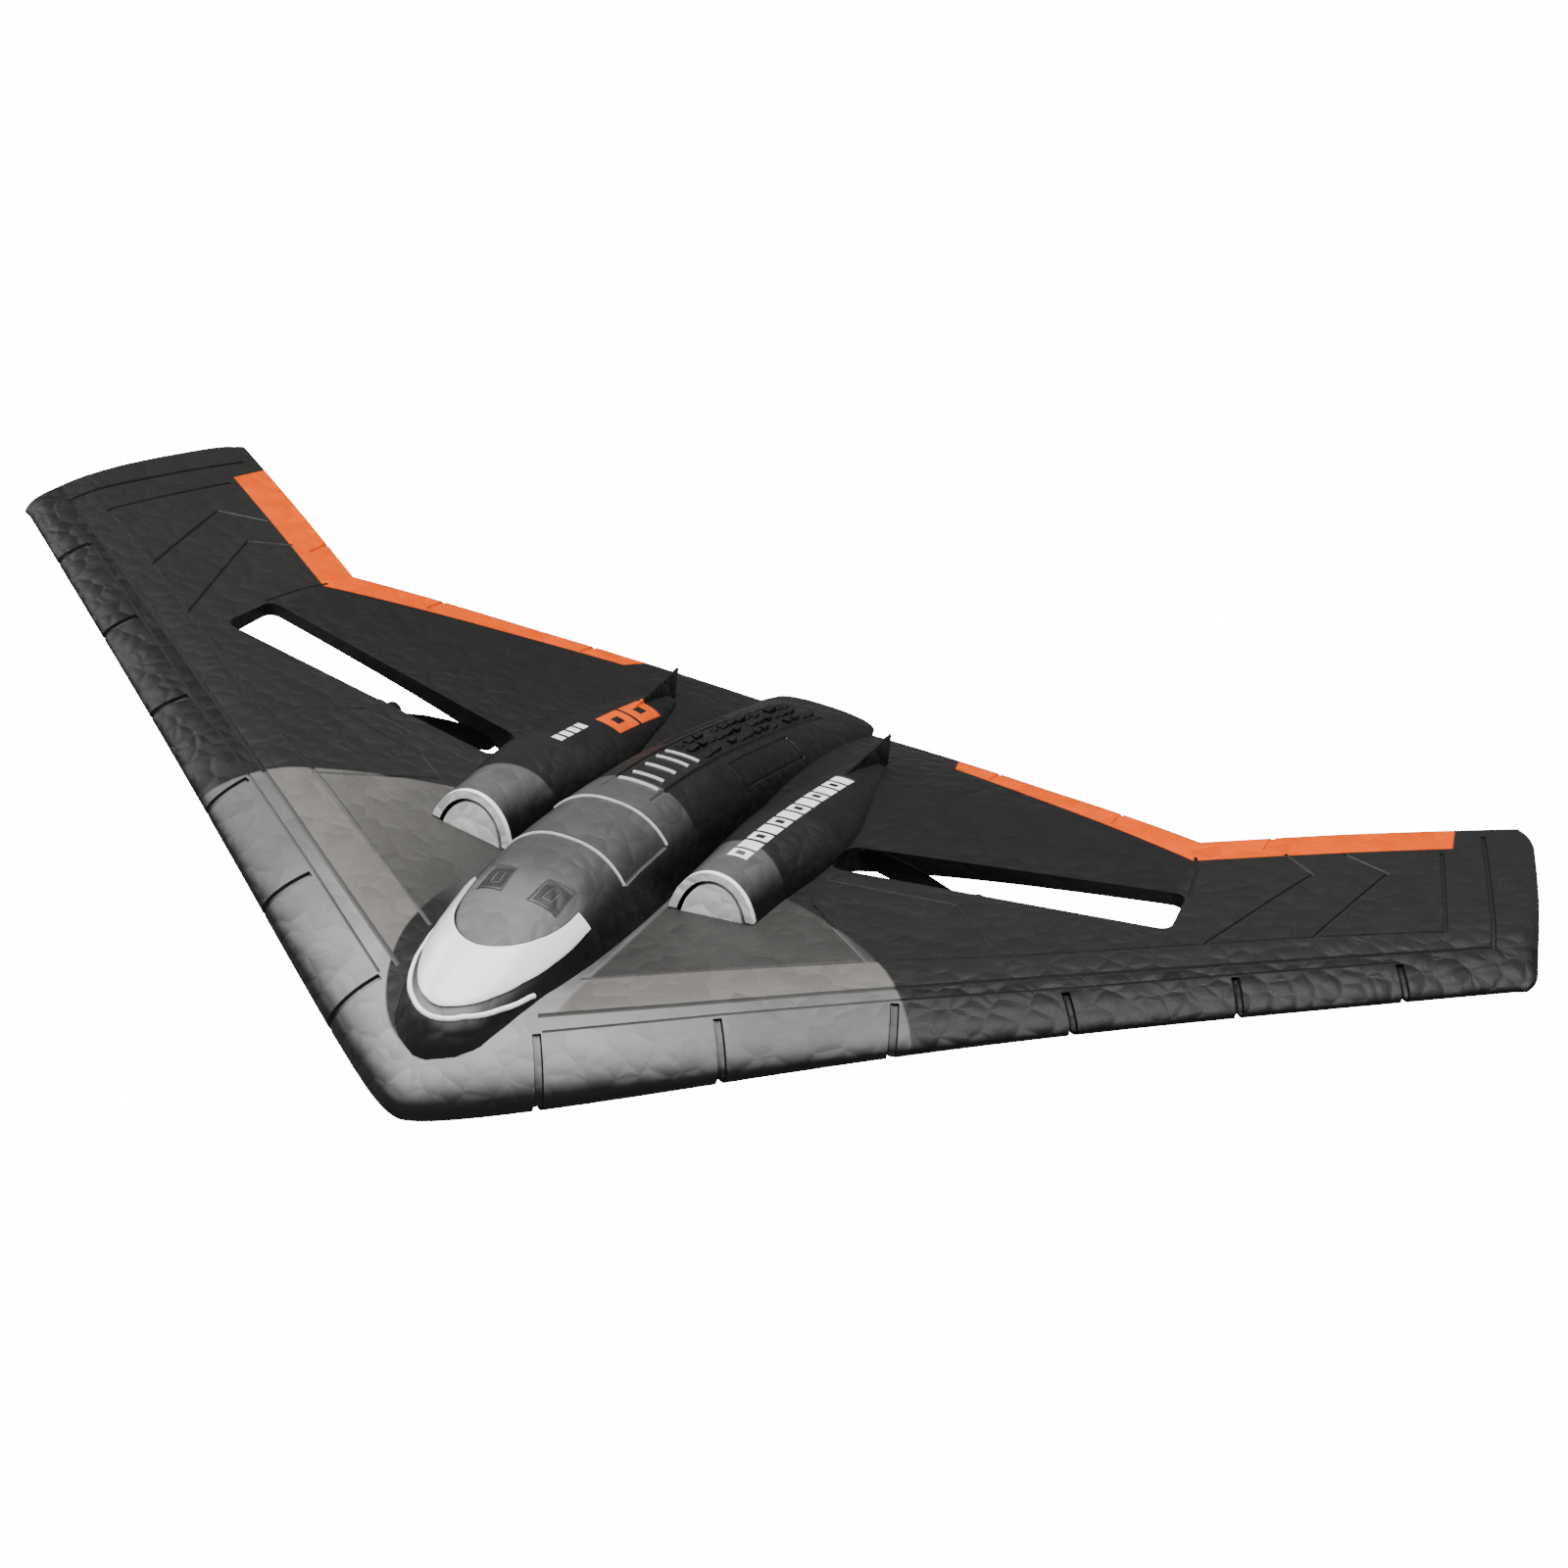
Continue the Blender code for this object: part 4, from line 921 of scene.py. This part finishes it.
link(film_mat, film_colour, film_shader.inputs["Base Color"])
film_bump = add_node(film_mat, "ShaderNodeBump", {"Strength": 0.1, "Distance": 0.1 * MM},
                     {"Height": haze.outputs["Fac"]})
link(film_mat, film_bump.outputs[0], film_shader.inputs["Normal"])
windshield.data.materials.append(film_mat)
activate(windshield)
bpy.ops.object.shade_smooth_by_angle(angle=math.radians(40))
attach(windshield, "airframe")
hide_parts("windshield_panel")

# ------------------------------------------------------------------------------------------------
# Propellers. Two twisted pusher blades and a hub, injection moulded in black nylon in one shot and
# pressed on to the motor's shaft; the left and right ones are handed.
# ------------------------------------------------------------------------------------------------


def worked_finish(name, hex_low, hex_high, roughness, grain_mm, stretch=(1.0, 1.0, 1.0), metallic=0.0,
                  bump=0.15, ior=None):
    """A material whose colour, gloss and relief wander with a grain of a real size, stretched along an axis."""
    mat, shader = new_material(name, hex_low, roughness, metallic, ior)
    place = add_node(mat, "ShaderNodeTexCoord").outputs["Object"]
    scaled = add_node(mat, "ShaderNodeMapping", {"Scale": stretch}, {"Vector": place}).outputs[0]
    grain = add_node(mat, "ShaderNodeTexNoise", {"Scale": 1.0 / (grain_mm * MM), "Detail": 4.0},
                     {"Vector": scaled})
    link(mat, masked_layer(mat, plain(mat, hex_low), hex_high, grain.outputs["Fac"]), shader.inputs["Base Color"])
    gloss = add_node(mat, "ShaderNodeMapRange",
                     {"To Min": roughness * 0.75, "To Max": min(1.0, roughness * 1.3)},
                     {"Value": grain.outputs["Fac"]})
    link(mat, gloss.outputs[0], shader.inputs["Roughness"])
    relief = add_node(mat, "ShaderNodeBump", {"Strength": bump, "Distance": 0.05 * MM},
                      {"Height": grain.outputs["Fac"]})
    link(mat, relief.outputs[0], shader.inputs["Normal"])
    return mat


# Moulded nylon: deep black with a satin flow along the blade.
nylon_mat = worked_finish("moulded_black_nylon", "#0D0D0E", "#17171A", 0.34, 1.6, (1.0, 1.0, 0.3), ior=1.53)
PROP_Y = 10.4
BLADE_R = np.array([1.2, 5.0, 10.0, 16.0, 21.0, 24.6, 26.0])
BLADE_CHORD = np.array([3.2, 4.8, 6.6, 7.2, 6.4, 4.4, 1.6])
BLADE_PITCH = np.array([38.0, 34.0, 27.0, 21.0, 17.0, 15.0, 14.0])
BLADE_TIP = 26.0
BLADE_START = 1.2
PARKED = {"left": 8.0, "right": 2.0}


def blade_rule(side, turned_by):
    def rule(u, v):
        share = (u + 1) / 2
        radius = BLADE_START + (BLADE_TIP - BLADE_START) * np.sin(share * math.pi / 2)
        chord = np.interp(radius, BLADE_R, BLADE_CHORD)
        pitch = np.radians(np.interp(radius, BLADE_R, BLADE_PITCH)) * side
        angle = v * math.pi
        along = -0.5 * np.cos(angle) * chord
        thick = 1.0 - 0.45 * share
        across = np.where(v > 0, 0.5, 0.32) * np.sin(angle) * thick * (0.75 + 0.25 * np.cos(angle))
        y = along * np.sin(pitch) + across * np.cos(pitch)
        z = along * np.cos(pitch) - across * np.sin(pitch)
        return np.stack([radius * turned_by, y, z * turned_by], -1) * MM
    return rule


for side_name, side in (("left", 1), ("right", -1)):
    bpy.ops.mesh.primitive_cylinder_add(vertices=40, radius=2.25 * MM, depth=5.0 * MM, location=(0, 0, 0))
    hub = bpy.context.object
    hub.name = f"pusher_propeller_{side_name}"
    hub.data.transform(Matrix.Rotation(-math.pi / 2, 4, "X"))
    for vert in hub.data.vertices:
        if vert.co.y > 0:
            vert.co.x *= 0.85
            vert.co.z *= 0.85
    apply_modifier(hub, "BEVEL", width=0.35 * MM, segments=3, limit_method="ANGLE")
    hub.data.materials.append(nylon_mat)
    for turned_by in (1, -1):
        blade = grid_by_rule("blade", 60, 32, blade_rule(side, turned_by))
        close_ends(blade)
        blade.data.materials.append(nylon_mat)
        boolean(hub, blade, "UNION")
    bore = rod_between("shaft_bore", (0, -4.0 * MM, 0), (0, 1.6 * MM, 0), 0.7 * MM, nylon_mat)
    boolean(hub, bore, "DIFFERENCE")
    tilt = Matrix.Rotation(math.radians(PARKED[side_name]) * side, 4, "Y")
    hub.data.transform(Matrix.Translation((side * HUB_X * MM, PROP_Y * MM, HUB_Z * MM)) @ tilt)
    activate(hub)
    bpy.ops.object.shade_smooth_by_angle(angle=math.radians(40))
    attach(hub, f"propeller_{side_name}")
    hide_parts(f"propeller_{side_name}")

# ------------------------------------------------------------------------------------------------
# Drive units, belly pod and electronics keep their machined shapes; each gets the finish of its
# real material.
# ------------------------------------------------------------------------------------------------

# Each finish gives its own sheen and grain: spark-eroded black plastic, a satin grey knob, bright
# plated steel and nickel, coppery wire, a green lacquered board, dull chip resin, a crumpled silver
# pouch, smooth red sleeve, milky nylon plugs and a clear lens.
abs_mat = worked_finish("spark_textured_black_abs", "#131314", "#1E1E20", 0.52, 0.35, bump=0.5)
grey_abs_mat = worked_finish("moulded_grey_abs", "#4A4A4C", "#5C5C5F", 0.45, 0.4, bump=0.3)
steel_mat = worked_finish("zinc_plated_steel", "#8F8F92", "#B2B2B4", 0.3, 0.8, (1.0, 0.15, 1.0), metallic=1.0)
magnet_mat = worked_finish("nickel_plated_magnet", "#9A9892", "#B5B3AC", 0.24, 1.2, metallic=1.0)
copper_mat = worked_finish("enamelled_copper_winding", "#8E4A22", "#C77A45", 0.32, 0.25, (1.0, 0.2, 1.0),
                           metallic=1.0)
board_mat = worked_finish("solder_masked_glass_epoxy", "#0E3A22", "#1C5B38", 0.3, 0.9, (0.25, 1.0, 1.0))
resin_mat = worked_finish("moulded_chip_epoxy", "#151517", "#232326", 0.6, 0.2)
pouch_mat = worked_finish("aluminium_laminate_pouch", "#8C9096", "#B7BABF", 0.3, 3.5, metallic=0.7, bump=0.6)
sleeve_mat = worked_finish("red_silicone_sleeve", "#7E1512", "#9B2420", 0.45, 0.6, bump=0.1)
socket_mat = worked_finish("natural_nylon_plug", "#CFC9B6", "#DDD8C8", 0.42, 0.5)
led_mat = worked_finish("clear_epoxy_lens", "#C9D9CC", "#E0EAE2", 0.12, 1.0, ior=1.5)

NODE_FINISH = {
    abs_mat: ["pod_shell", "pod_lid", "battery_door", "motor_end_cap_left", "motor_end_cap_right"],
    grey_abs_mat: ["switch_knob"],
    steel_mat: ["pod_screw_1", "pod_screw_2", "pod_screw_3", "pod_screw_4", "motor_can_left", "motor_can_right",
                "switch_body"],
    magnet_mat: ["motor_magnet_left", "motor_magnet_right"],
    copper_mat: ["motor_rotor_left", "motor_rotor_right"],
    board_mat: ["receiver_board"],
    resin_mat: ["radio_chip", "gyro_chip"],
    pouch_mat: ["battery_cell"],
    sleeve_mat: ["battery_lead", "antenna_wire", "motor_lead_left", "motor_lead_right"],
    socket_mat: ["battery_plug", "battery_socket"],
    led_mat: ["status_led"],
    nylon_mat: ["motor_sleeve_left", "motor_sleeve_right"],
}
for finish, names in NODE_FINISH.items():
    for name in names:
        for material_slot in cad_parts[name].material_slots:
            material_slot.material = finish
